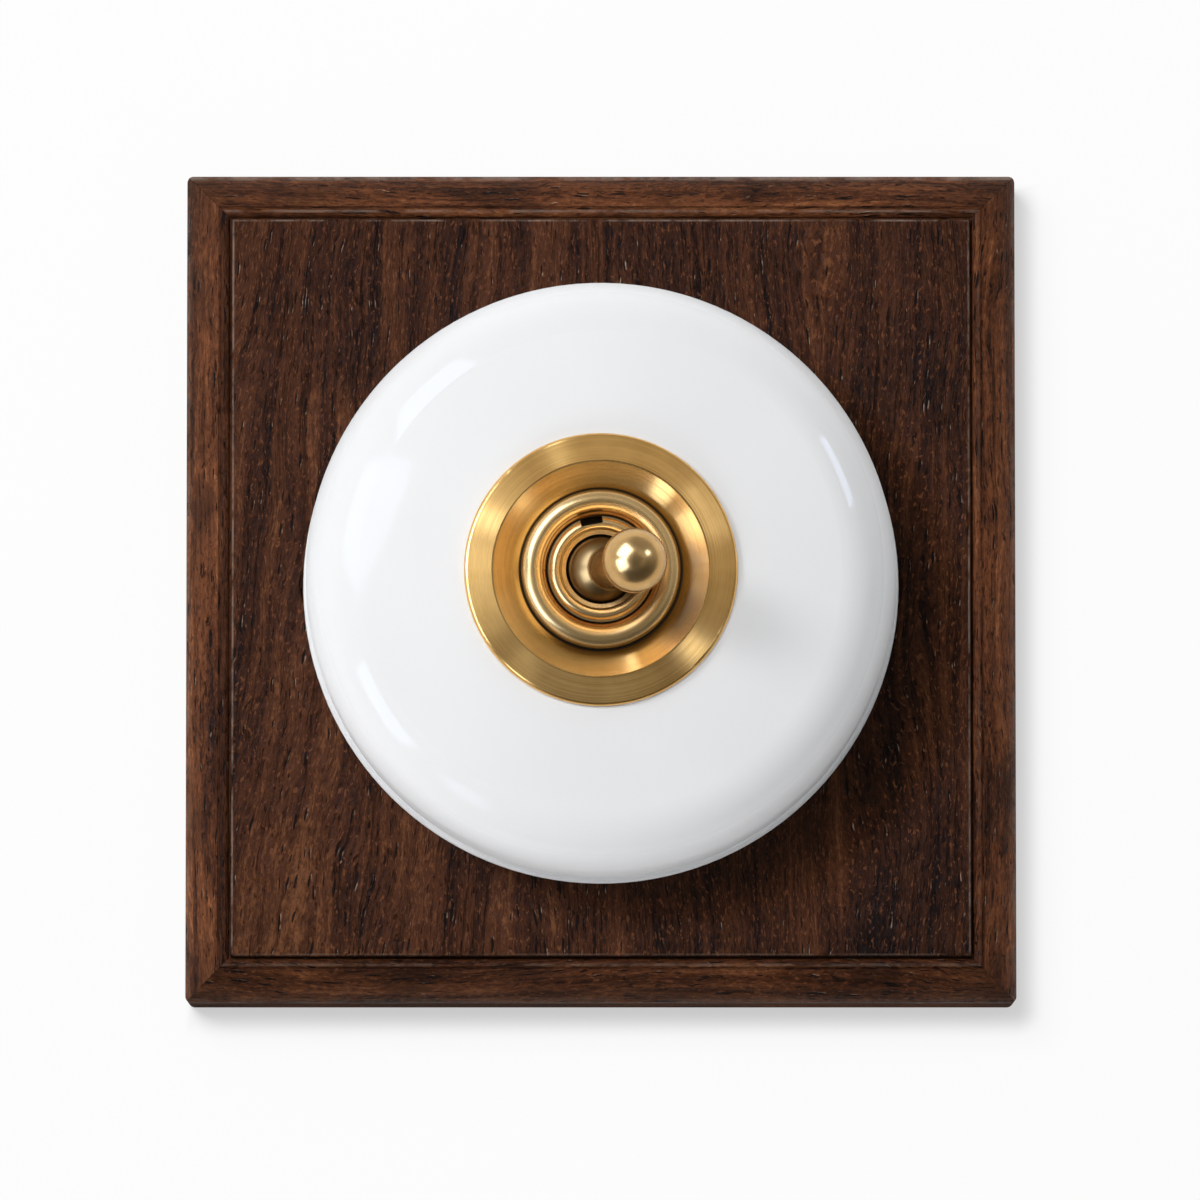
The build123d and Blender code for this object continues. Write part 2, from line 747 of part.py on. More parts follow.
# Common terminal: strip with two ears for the rocker pin, and its wire block
ear_height = rocker_pin_z - base_top
ear_middle_y = (ear_inner_y + ear_outer_y) / 2
common_strip_length = block_end + ear_outer_y

with BuildPart() as terminal_common:
    with BuildSketch(base_top_plane):
        with Locations((0, block_end - common_strip_length / 2)):
            Rectangle(common_strip_width, common_strip_length)
    extrude(amount=strip_thickness)
    with BuildSketch(base_top_plane):
        with Locations((0, block_middle)):
            Rectangle(block_width, block_length)
    extrude(amount=block_height)
    fillet(terminal_common.faces().sort_by(Axis.Z)[-1].edges(), block_edge_round)
    for ear_y in (-ear_middle_y, ear_middle_y):
        with BuildSketch(Plane(origin=(0, ear_y, base_top), x_dir=(1, 0, 0), z_dir=(0, -1, 0))):
            with Locations((0, ear_height / 2)):
                Rectangle(2 * ear_half_width, ear_height)
            with Locations((0, ear_height)):
                Circle(ear_half_width)
        extrude(amount=ear_thickness / 2, both=True)
    with BuildSketch(rocker_pin_plane):
        Circle(rocker_pin_radius + pin_fit_clearance)
    extrude(amount=ear_outer_y, both=True, mode=Mode.SUBTRACT)
    with BuildSketch(Plane(origin=(0, block_end, base_top), x_dir=(-1, 0, 0), z_dir=(0, 1, 0))):
        with Locations((0, wire_bore_height)):
            Circle(wire_bore_radius)
    extrude(amount=-wire_bore_depth, mode=Mode.SUBTRACT)
    with BuildSketch(Plane.XY.offset(base_top + wire_bore_height)):
        with Locations((0, block_middle)):
            Circle(tapped_radius)
    extrude(amount=block_height, mode=Mode.SUBTRACT)
    with BuildSketch(base_top_plane):
        with Locations((0, terminal_screw_y)):
            Circle(tapped_radius)
    extrude(amount=strip_thickness, mode=Mode.SUBTRACT)
finish(terminal_common, "terminal_common")

# Bridge: strap bent into feet, legs and a top plate that carries the bush
foot_top_z = base_top + bridge_thickness
leg_inner_x = bridge_half_length - bridge_thickness

with BuildPart() as bridge:
    with BuildSketch(Plane.XZ):
        with BuildLine():
            Polyline(
                (bridge_foot_reach, base_top),
                (leg_inner_x, base_top),
                (leg_inner_x, bridge_underside_z),
                (-leg_inner_x, bridge_underside_z),
                (-leg_inner_x, base_top),
                (-bridge_foot_reach, base_top),
                (-bridge_foot_reach, foot_top_z),
                (-bridge_half_length, foot_top_z),
                (-bridge_half_length, bridge_top_z),
                (bridge_half_length, bridge_top_z),
                (bridge_half_length, foot_top_z),
                (bridge_foot_reach, foot_top_z),
                close=True,
            )
        make_face()
    extrude(amount=bridge_width / 2, both=True)
    outer_bends = bridge.edges().filter_by(Axis.Y).filter_by_position(Axis.Z, bridge_top_z, bridge_top_z)
    fillet(outer_bends, bridge_bend_radius)
    with BuildSketch(Plane.XY.offset(bridge_underside_z)):
        Circle(bush_spigot_radius + spigot_clearance)
    extrude(amount=bridge_thickness, mode=Mode.SUBTRACT)
    with BuildSketch(base_top_plane):
        with Locations(*bridge_screw_places):
            Circle(tapped_radius)
    extrude(amount=bridge_thickness, mode=Mode.SUBTRACT)
finish(bridge, "bridge")


# Slotted machine screws
def machine_screws(places, head_plane, shank_length):
    """Build a group of screws whose head tops lie on a plane facing away from the shank."""
    with BuildPart() as screws:
        with BuildSketch(head_plane):
            with Locations(*places):
                Circle(screw_head_radius)
        extrude(amount=-screw_head_height)
        with BuildSketch(head_plane.offset(-screw_head_height)):
            with Locations(*places):
                Circle(screw_radius)
        extrude(amount=-shank_length)
        with BuildSketch(head_plane):
            with Locations(*places):
                Rectangle(2 * screw_head_radius, screw_slot_width)
        extrude(amount=-screw_slot_depth, mode=Mode.SUBTRACT)
    return screws


underside_head_z = panel_thickness + head_recess_depth - screw_head_height
underside_plane = Plane(origin=(0, 0, underside_head_z), x_dir=(1, 0, 0), z_dir=(0, 0, -1))
head_seat_z = panel_thickness + head_recess_depth
bridge_screw_length = foot_top_z + screw_tip_length - head_seat_z
terminal_screw_length = strip_top + screw_tip_length - head_seat_z
flipped_bridge_places = [(x, -y) for x, y in bridge_screw_places]
flipped_terminal_places = [(x, -y) for x, y in terminal_screw_places]

finish(machine_screws(flipped_bridge_places, underside_plane, bridge_screw_length), "bridge_screws")
finish(machine_screws(flipped_terminal_places, underside_plane, terminal_screw_length), "terminal_screws")

clamp_head_z = base_top + block_height + screw_head_height
clamp_screw_length = block_height - wire_bore_height - wire_bore_radius + clamp_screw_bite
clamp_plane = Plane.XY.offset(clamp_head_z)
finish(machine_screws(clamp_screw_places, clamp_plane, clamp_screw_length), "clamp_screws")

# Countersunk wood screws that hold the base to the panel
wood_head_top = base_top - wood_screw_sink
wood_head_depth = (wood_screw_head_radius - wood_screw_radius) / tan(radians(countersink_angle / 2))
wood_point_z = base_top - wood_screw_length + pilot_clearance
wood_shank_end = wood_point_z + wood_screw_point_length

with BuildPart() as base_screws:
    for screw_x, screw_y in base_screw_places:
        with BuildSketch(Plane(origin=(screw_x, screw_y, 0), x_dir=(1, 0, 0), z_dir=(0, -1, 0))):
            with BuildLine():
                Polyline(
                    (0, wood_point_z),
                    (wood_screw_radius, wood_shank_end),
                    (wood_screw_radius, wood_head_top - wood_head_depth),
                    (wood_screw_head_radius, wood_head_top),
                    (0, wood_head_top),
                    close=True,
                )
            make_face()
        revolve(axis=Axis((screw_x, screw_y, 0), (0, 0, 1)))
    with BuildSketch(Plane.XY.offset(wood_head_top)):
        with Locations(*base_screw_places):
            Rectangle(2 * wood_screw_head_radius, screw_slot_width)
    extrude(amount=-screw_slot_depth, mode=Mode.SUBTRACT)
finish(base_screws, "base_screws")
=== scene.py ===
import logging
import math
from dataclasses import dataclass, field
from enum import Enum
from typing import NamedTuple

import bpy
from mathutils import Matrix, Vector

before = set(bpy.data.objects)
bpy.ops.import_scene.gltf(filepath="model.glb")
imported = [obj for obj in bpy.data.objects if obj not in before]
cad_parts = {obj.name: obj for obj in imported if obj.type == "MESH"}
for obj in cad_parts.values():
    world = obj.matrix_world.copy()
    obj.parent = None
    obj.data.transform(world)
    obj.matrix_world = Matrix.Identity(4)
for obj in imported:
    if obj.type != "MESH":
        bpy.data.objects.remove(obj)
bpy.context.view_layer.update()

LOG = logging.getLogger("dolly_switch")
MM = 0.001

Socket = bpy.types.NodeSocket
Source = Socket | float | tuple[float, ...]
Colour = tuple[float, float, float]

DAYLIGHT: Colour = (0.82, 1.0, 1.42)
NEUTRAL: Colour = (1.0, 1.0, 1.0)
BRASS: Colour = (0.92, 0.525, 0.15)
BRASS_DARK: Colour = (0.72, 0.385, 0.09)
PALE_BRASS: Colour = (0.97, 0.65, 0.28)
PALE_BRASS_DARK: Colour = (0.85, 0.53, 0.19)


class Grain(Enum):
    """Which way the fibres of a wooden piece run on the wall."""

    UPRIGHT = "upright"
    LEVEL = "level"


class LampUse(Enum):
    """What a studio lamp is there for: the light itself, or the shine on one kind of piece."""

    LIGHT = "light"
    REST_LIGHT = "rest_light"
    COVER_LIGHT = "cover_light"
    GLAZE = "glaze"
    BEZEL = "bezel"
    NUT = "nut"
    LEVER = "lever"
    WOOD = "wood"


class Ease(NamedTuple):
    """Where an easing starts and ends, and what it gives at each end."""

    low: float
    high: float
    start: float = 0.0
    end: float = 1.0


class Noise(NamedTuple):
    """How fine a noise is, how many finer layers it holds, how strong they are and its curl."""

    scale: float
    detail: float = 2.0
    rough: float = 0.5
    curl: float = 0.0


class Layer(NamedTuple):
    """Noise that is drawn out one way: how fine it is across and along, and its finer layers."""

    across: float
    along: float
    detail: float = 2.0
    rough: float = 0.5
    curl: float = 0.0


class Graph:
    """Wires one node tree with short calls."""

    def __init__(self, tree: bpy.types.NodeTree) -> None:
        """Empties the tree and keeps it.

        Args:
            tree: The node tree to fill.
        """
        tree.nodes.clear()
        self.tree = tree

    def node(self, kind: str, **settings: object) -> bpy.types.Node:
        """Adds a node.

        Args:
            kind: The node's type name.
            **settings: Properties to set on it.

        Returns:
            The new node.
        """
        made = self.tree.nodes.new(kind)
        for name, value in settings.items():
            setattr(made, name, value)
        return made

    def feed(self, socket: Socket, source: Source) -> None:
        """Links a source to a socket, or sets the socket's own value.

        Args:
            socket: The input to feed.
            source: A socket, a number or a tuple.
        """
        if isinstance(source, Socket):
            self.tree.links.new(source, socket)
        else:
            socket.default_value = source

    def calc(
        self, operation: str, first: Source, second: Source = 0.0, clamp: bool = False
    ) -> Socket:
        """Works out a sum on one or two numbers.

        Args:
            operation: The Math node's operation.
            first: Its first number.
            second: Its second number.
            clamp: Whether the answer is held between 0 and 1.

        Returns:
            The answer's socket.
        """
        made = self.node("ShaderNodeMath", operation=operation, use_clamp=clamp)
        self.feed(made.inputs[0], first)
        self.feed(made.inputs[1], second)
        return made.outputs[0]

    def times(self, first: Source, second: Source) -> Socket:
        """Gives the product of two numbers."""
        return self.calc("MULTIPLY", first, second)

    def total(self, *terms: tuple[Source, float]) -> Socket:
        """Adds up numbers, each with its own weight.

        Args:
            *terms: The numbers and their weights.

        Returns:
            The sum's socket.
        """
        summed = self.times(*terms[0])
        for term in terms[1:]:
            summed = self.calc("ADD", summed, self.times(*term))
        return summed

    def most(self, first: Source, *others: Source) -> Socket:
        """Gives the largest of some numbers.

        Args:
            first: One number.
            *others: The others.

        Returns:
            The largest number's socket.
        """
        largest = first
        for other in others:
            largest = self.calc("MAXIMUM", largest, other)
        return largest

    def apart(self, first: Source, second: Source) -> Socket:
        """Gives how far apart two numbers are."""
        return self.calc("ABSOLUTE", self.calc("SUBTRACT", first, second))

    def ease(self, value: Source, way: Ease) -> Socket:
        """Eases a value from one range into another.

        Args:
            value: The number to ease.
            way: Where the easing starts and ends, and what it gives there.

        Returns:
            The eased number's socket.
        """
        made = self.node("ShaderNodeMapRange", interpolation_type="SMOOTHSTEP")
        self.feed(made.inputs["Value"], value)
        for name, number in zip(("From Min", "From Max", "To Min", "To Max"), way):
            made.inputs[name].default_value = number
        return made.outputs["Result"]

    def place(self) -> tuple[Socket, Socket, Socket]:
        """Gives the point on the piece, in millimetres.

        Returns:
            The sockets of x, y and z.
        """
        sized = self.node("ShaderNodeVectorMath", operation="SCALE")
        self.feed(sized.inputs[0], self.node("ShaderNodeTexCoord").outputs["Object"])
        sized.inputs["Scale"].default_value = 1.0 / MM
        parts = self.node("ShaderNodeSeparateXYZ")
        self.feed(parts.inputs[0], sized.outputs[0])
        return parts.outputs[0], parts.outputs[1], parts.outputs[2]

    def vector(self, x: Source, y: Source, z: Source) -> Socket:
        """Joins three numbers into a vector.

        Args:
            x: The first number.
            y: The second number.
            z: The third number.

        Returns:
            The vector's socket.
        """
        made = self.node("ShaderNodeCombineXYZ")
        for socket, source in zip(made.inputs, (x, y, z)):
            self.feed(socket, source)
        return made.outputs[0]

    def noise(self, where: Socket, look: Noise) -> Socket:
        """Gives cloudy noise, about 0.5 on average.

        Args:
            where: The point to look it up at.
            look: How fine and how rough it is.

        Returns:
            The noise value's socket.
        """
        made = self.node("ShaderNodeTexNoise", noise_dimensions="3D")
        self.feed(made.inputs["Vector"], where)
        for name, number in zip(("Scale", "Detail", "Roughness", "Distortion"), look):
            made.inputs[name].default_value = number
        return made.outputs["Fac"]

    def cells(self, where: Socket, scale: float = 1.0) -> tuple[Socket, Socket]:
        """Gives scattered dots.

        Args:
            where: The point to look them up at.
            scale: How many there are to the unit.

        Returns:
            The sockets of the distance to the nearest dot and of that dot's own chance colour.
        """
        made = self.node("ShaderNodeTexVoronoi", feature="F1")
        self.feed(made.inputs["Vector"], where)
        made.inputs["Scale"].default_value = scale
        return made.outputs["Distance"], made.outputs["Color"]

    def ramp(self, value: Source, stops: list[tuple[float, Colour]]) -> Socket:
        """Turns a number into a colour.

        Args:
            value: The number.
            stops: Places and linear colours, in order.

        Returns:
            The colour's socket.
        """
        made = self.node("ShaderNodeValToRGB")
        made.color_ramp.interpolation = "EASE"
        while len(made.color_ramp.elements) < len(stops):
            made.color_ramp.elements.new(1.0)
        for element, (at, colour) in zip(made.color_ramp.elements, stops):
            element.position = at
            element.color = (*colour, 1.0)
        self.feed(made.inputs["Fac"], value)
        return made.outputs["Color"]

    def blend(self, share: Source, first: Source, second: Source) -> Socket:
        """Mixes two colours.

        Args:
            share: How much of the second there is.
            first: The first colour.
            second: The second colour.

        Returns:
            The mixed colour's socket.
        """
        made = self.node("ShaderNodeMix", data_type="RGBA")
        self.feed(made.inputs["Factor"], share)
        colour_sockets = [socket for socket in made.inputs if socket.type == "RGBA"]
        for socket, source in zip(colour_sockets, (first, second)):
            self.feed(socket, (*source, 1.0) if isinstance(source, tuple) else source)
        return next(socket for socket in made.outputs if socket.type == "RGBA")

    def bump(self, height: Socket, depth_mm: float) -> Socket:
        """Raises the surface by a height.

        Args:
            height: The height, from 0 to 1.
            depth_mm: How deep 1 is.

        Returns:
            The normal's socket.
        """
        made = self.node("ShaderNodeBump")
        made.inputs["Strength"].default_value = 1.0
        made.inputs["Distance"].default_value = depth_mm * MM
        self.feed(made.inputs["Height"], height)
        return made.outputs["Normal"]

    def seen(self) -> Socket:
        """Tells whether a ray comes from the camera, straight or by a mirror or glass.

        Returns:
            The socket of 1 or 0.
        """
        rays = self.node("ShaderNodeLightPath").outputs
        straight = self.calc("ADD", rays["Is Camera Ray"], rays["Is Glossy Ray"])
        return self.calc("ADD", straight, rays["Is Transmission Ray"], clamp=True)

    def surface(self, **sockets: Source) -> bpy.types.Node:
        """Ends the tree in a Principled shader.

        Args:
            **sockets: Its inputs, with underscores for spaces.

        Returns:
            The shader node.
        """
        shader = self.node("ShaderNodeBsdfPrincipled")
        for name, source in sockets.items():
            self.feed(shader.inputs[name.replace("_", " ")], source)
        output = self.node("ShaderNodeOutputMaterial")
        self.feed(output.inputs["Surface"], shader.outputs[0])
        return shader


@dataclass(frozen=True)
class Drawn:
    """A place in a material whose marks are drawn out one way, along fibres or lathe lines."""

    graph: Graph
    across: Socket
    along: Socket
    depth: Socket

    def point(self, across: float, along: float, aside: float = 0.0) -> Socket:
        """Gives the point, drawn out along the marks.

        Args:
            across: The scale across the marks and in depth.
            along: The scale along them.
            aside: How far the point is first moved across.

        Returns:
            The point's socket.
        """
        moved = self.graph.calc("ADD", self.across, aside)
        return self.graph.vector(
            self.graph.times(moved, across),
            self.graph.times(self.along, along),
            self.graph.times(self.depth, across),
        )

    def noise(self, layer: Layer) -> Socket:
        """Gives one layer of marks.

        Args:
            layer: How fine the layer is.

        Returns:
            The noise value's socket.
        """
        where = self.point(layer.across, layer.along)
        return self.graph.noise(where, Noise(1.0, layer.detail, layer.rough, layer.curl))


def new_material(name: str) -> tuple[bpy.types.Material, Graph]:
    """Makes an empty node material.

    Args:
        name: Its name.

    Returns:
        The material and its graph.
    """
    material = bpy.data.materials.new(name)
    material.use_nodes = True
    return material, Graph(material.node_tree)


@dataclass(frozen=True)
class OakFigure:
    """How the fibres of the oak run, and the marks that give it its tone."""

    bands: Layer = Layer(0.3, 0.014, 4.0, 0.6)
    streaks: Layer = Layer(1.3, 0.035, 4.0, 0.65)
    flecks: Layer = Layer(2.4, 0.9, 4.0, 0.7, 0.6)
    fibres: Layer = Layer(5.5, 0.8, 3.0, 0.6)
    patches: Layer = Layer(0.11, 0.07, 3.0, 0.55)
    shares: tuple[float, ...] = (0.22, 0.27, 0.22, 0.15, 0.14)
    wide_sway: tuple[float, float] = (0.05, 0.02)
    wide_sway_mm: float = 9.0
    near_sway: tuple[float, float] = (0.5, 0.3)
    near_sway_mm: float = 0.6
    lean: Ease = Ease(-46.0, 6.0, 0.13, 0.0)
    side_weights: tuple[float, float] = (0.8, 0.4)
    # Board tone and painted shade: darker towards the right and the top right.
    side_tone_and_painted_shade: Ease = Ease(-44.0, 44.0, 0.014, -0.018)
    # Painted shadow of the dome: darker towards the lower right corner.
    corner_painted_shadow: Ease = Ease(20.0, 75.0, 0.0, -0.018)

    def sway(
        self, graph: Graph, across: Socket, along: Socket, seeds: tuple[float, float]
    ) -> Socket:
        """Gives how far the fibres sway to one side.

        Args:
            graph: The graph to add to.
            across: The place across the fibres.
            along: The place along them.
            seeds: Where the near and the wide sway are looked up.

        Returns:
            The socket of the sway in millimetres.
        """
        near_seed, wide_seed = seeds

        def waves(scales: tuple[float, float], seed: float) -> Socket:
            """Gives one set of waves."""
            scaled = (graph.times(*pair) for pair in zip((across, along), scales))
            return graph.noise(graph.vector(*scaled, seed), Noise(1.0))

        return graph.total(
            (waves(self.wide_sway, wide_seed), self.wide_sway_mm),
            (waves(self.near_sway, near_seed), self.near_sway_mm),
        )

    def tone_and_painted_shade(self, graph: Graph, tone: Socket, x: Socket, y: Socket) -> Socket:
        """Darkens the panel's tone towards the right, partly as board tone and partly as painted
        shade, and paints a shadow towards the lower right corner.

        Args:
            graph: The graph to add to.
            tone: The tone before the painted shade.
            x: The place across the wall.
            y: The place up the wall.

        Returns:
            The socket of the shaded tone.
        """
        side = graph.total(*zip((x, y), self.side_weights))
        tone = graph.calc("ADD", tone, graph.ease(side, self.side_tone_and_painted_shade))
        corner = graph.calc("SUBTRACT", x, y)
        return graph.calc("ADD", tone, graph.ease(corner, self.corner_painted_shadow))


@dataclass(frozen=True)
class OakPores:
    """The open pores and deep pits of the oak."""

    long_pores: Layer = Layer(1.5, 0.03, 3.0, 0.6)
    long_cut: Ease = Ease(0.58, 0.67)
    long_share: float = 0.7
    short_pores: Layer = Layer(2.8, 0.5, 2.0, 0.55, 0.6)
    short_cut: Ease = Ease(0.62, 0.69)
    in_bands: Ease = Ease(0.4, 0.6, 1.0, 0.55)
    pit_spread: tuple[float, float] = (2.3, 0.27)
    pit_size: Ease = Ease(0.25, 0.7, 0.0, 0.25)
    pit_in_streaks: Ease = Ease(0.4, 0.6, 1.3, 0.7)
    pit_edge: Ease = Ease(-0.01, 0.04)
    lit_aside: float = -0.1
    lit_patches: Layer = Layer(0.8, 0.9)
    lit_cut: Ease = Ease(0.5, 0.72)

    def open_pores(self, wood: Drawn, bands: Socket) -> Socket:
        """Gives the open pores, thickest in the early wood.

        Args:
            wood: The place in the wood.
            bands: The broad bands of the wood.

        Returns:
            The socket of how open the wood is.
        """
        graph = wood.graph
        long_pores = graph.ease(wood.noise(self.long_pores), self.long_cut)
        short_pores = graph.ease(wood.noise(self.short_pores), self.short_cut)
        both = graph.most(graph.times(long_pores, self.long_share), short_pores)
        return graph.times(both, graph.ease(bands, self.in_bands))

    def pits(self, wood: Drawn, streaks: Socket, aside: float = 0.0) -> Socket:
        """Gives the deep pits along the grain.

        Args:
            wood: The place in the wood.
            streaks: The streaks that the pits lie along.
            aside: How far they are moved to one side.

        Returns:
            The socket of the pits.
        """
        graph = wood.graph
        far, chance = graph.cells(wood.point(*self.pit_spread, aside))
        size = graph.times(
            graph.ease(chance, self.pit_size), graph.ease(streaks, self.pit_in_streaks)
        )
        return graph.ease(graph.calc("SUBTRACT", size, far), self.pit_edge)

    def lit_edges(self, wood: Drawn, streaks: Socket, pits: Socket) -> Socket:
        """Gives the painted highlight on the edge of each pit that faces the light.

        Args:
            wood: The place in the wood.
            streaks: The streaks that the pits lie along.
            pits: The pits.

        Returns:
            The socket of the lit edges.
        """
        graph = wood.graph
        patchy = graph.ease(wood.noise(self.lit_patches), self.lit_cut)
        moved = self.pits(wood, streaks, self.lit_aside)
        return graph.times(graph.times(moved, graph.calc("SUBTRACT", 1.0, pits)), patchy)


@dataclass(frozen=True)
class OakEdges:
    """Staining with painted shade in the grooves, and scuffing with painted highlight on the
    arrises, by distance out from the panel.
    """

    # Darker in the groove by the panel and in the quirk: staining together with painted shade.
    groove: Ease = Ease(0.16, 0.4, 0.8, 0.0)
    quirk_at: float = 1.42
    quirk: Ease = Ease(0.05, 0.16, 0.5, 0.0)
    joint: Ease = Ease(0.05, 0.2, 0.8, 0.0)
    # Painted shadow on the bead, as dark as each strip sets.
    bead: tuple[float, float] = (1.3, 1.42)
    corner: Ease = Ease(0.2, 9.0, 0.5, 0.0)
    blotches: Layer = Layer(0.22, 0.08, 3.0, 0.6)
    blotch: Ease = Ease(0.5, 0.66, 0.0, 0.75)
    # Pale line on the bead's crest and on the outer rim: scuffing together with painted highlight,
    # set per strip.
    crest_at: float = 0.95
    crest: tuple[float, float] = (0.08, 0.22)
    rim: tuple[float, float] = (4.5, 4.95)
    rim_height: Ease = Ease(10.4, 11.2, 0.06, 1.0)
    # Darker at the panel's edge: staining together with painted shade.
    panel_stain_and_shade: Ease = Ease(-0.08, 0.0, 0.0, 0.5)
    # Pale line on the panel's arris: scuffing together with painted highlight, faded at the foot
    # where the arris is in shade.
    panel_wear_and_highlight_starts: Ease = Ease(-0.36, -0.24)
    panel_wear_and_highlight_ends: Ease = Ease(-0.16, -0.04, 1.0, 0.0)
    panel_foot: Ease = Ease(-42.3, -41.6, 0.2, 1.0)
    rubbed_and_lit_patches: Layer = Layer(0.25, 0.22, 4.0, 0.7)
    rubbed_and_lit: Ease = Ease(0.36, 0.62)

    def on_panel(self, graph: Graph, out: Socket, y: Socket) -> tuple[Socket, Socket]:
        """Gives the staining with painted shade, and the scuffing with painted highlight, on the
        panel.

        Args:
            graph: The graph to add to.
            out: The distance out from the panel's edge.
            y: The place up the wall.

        Returns:
            The sockets of the staining with painted shade and of the scuffing with painted
            highlight.
        """
        wear_and_highlight = graph.times(
            graph.ease(out, self.panel_wear_and_highlight_starts), graph.ease(out, self.panel_wear_and_highlight_ends)
        )
        wear_and_highlight = graph.times(wear_and_highlight, graph.ease(y, self.panel_foot))
        return graph.ease(out, self.panel_stain_and_shade), wear_and_highlight

    def stain_and_shade_on_strip(self, wood: Drawn, out: Socket, mitre: Socket, bead_painted_shadow: float) -> Socket:
        """Gives the staining and painted shade on a moulding strip.

        Args:
            wood: The place in the wood.
            out: The distance out from the panel's edge.
            mitre: The distance from the mitre.
            bead_painted_shadow: How dark the painted shadow on the bead is.

        Returns:
            The socket of the staining and painted shade.
        """
        graph = wood.graph
        return graph.most(
            graph.ease(out, self.groove),
            graph.ease(graph.apart(out, self.quirk_at), self.quirk),
            graph.ease(mitre, self.joint),
            graph.ease(out, Ease(*self.bead, bead_painted_shadow, 0.0)),
            graph.ease(mitre, self.corner),
            graph.ease(wood.noise(self.blotches), self.blotch),
        )

    def wear_and_highlight_on_strip(self, graph: Graph, out: Socket, bead_crest_wear_and_highlight: float, rim_wear_and_highlight: float) -> Socket:
        """Gives the scuffing with painted highlight on a moulding strip.

        Args:
            graph: The graph to add to.
            out: The distance out from the panel's edge.
            bead_crest_wear_and_highlight: How strong the scuffing and painted highlight on the
                bead's crest are.
            rim_wear_and_highlight: How strong the scuffing and painted highlight on the outer edge
                are.

        Returns:
            The socket of the scuffing with painted highlight.
        """
        crest = graph.apart(out, self.crest_at)
        return graph.most(
            graph.ease(crest, Ease(*self.crest, bead_crest_wear_and_highlight, 0.0)),
            graph.ease(out, Ease(*self.rim, 0.0, rim_wear_and_highlight)),
        )


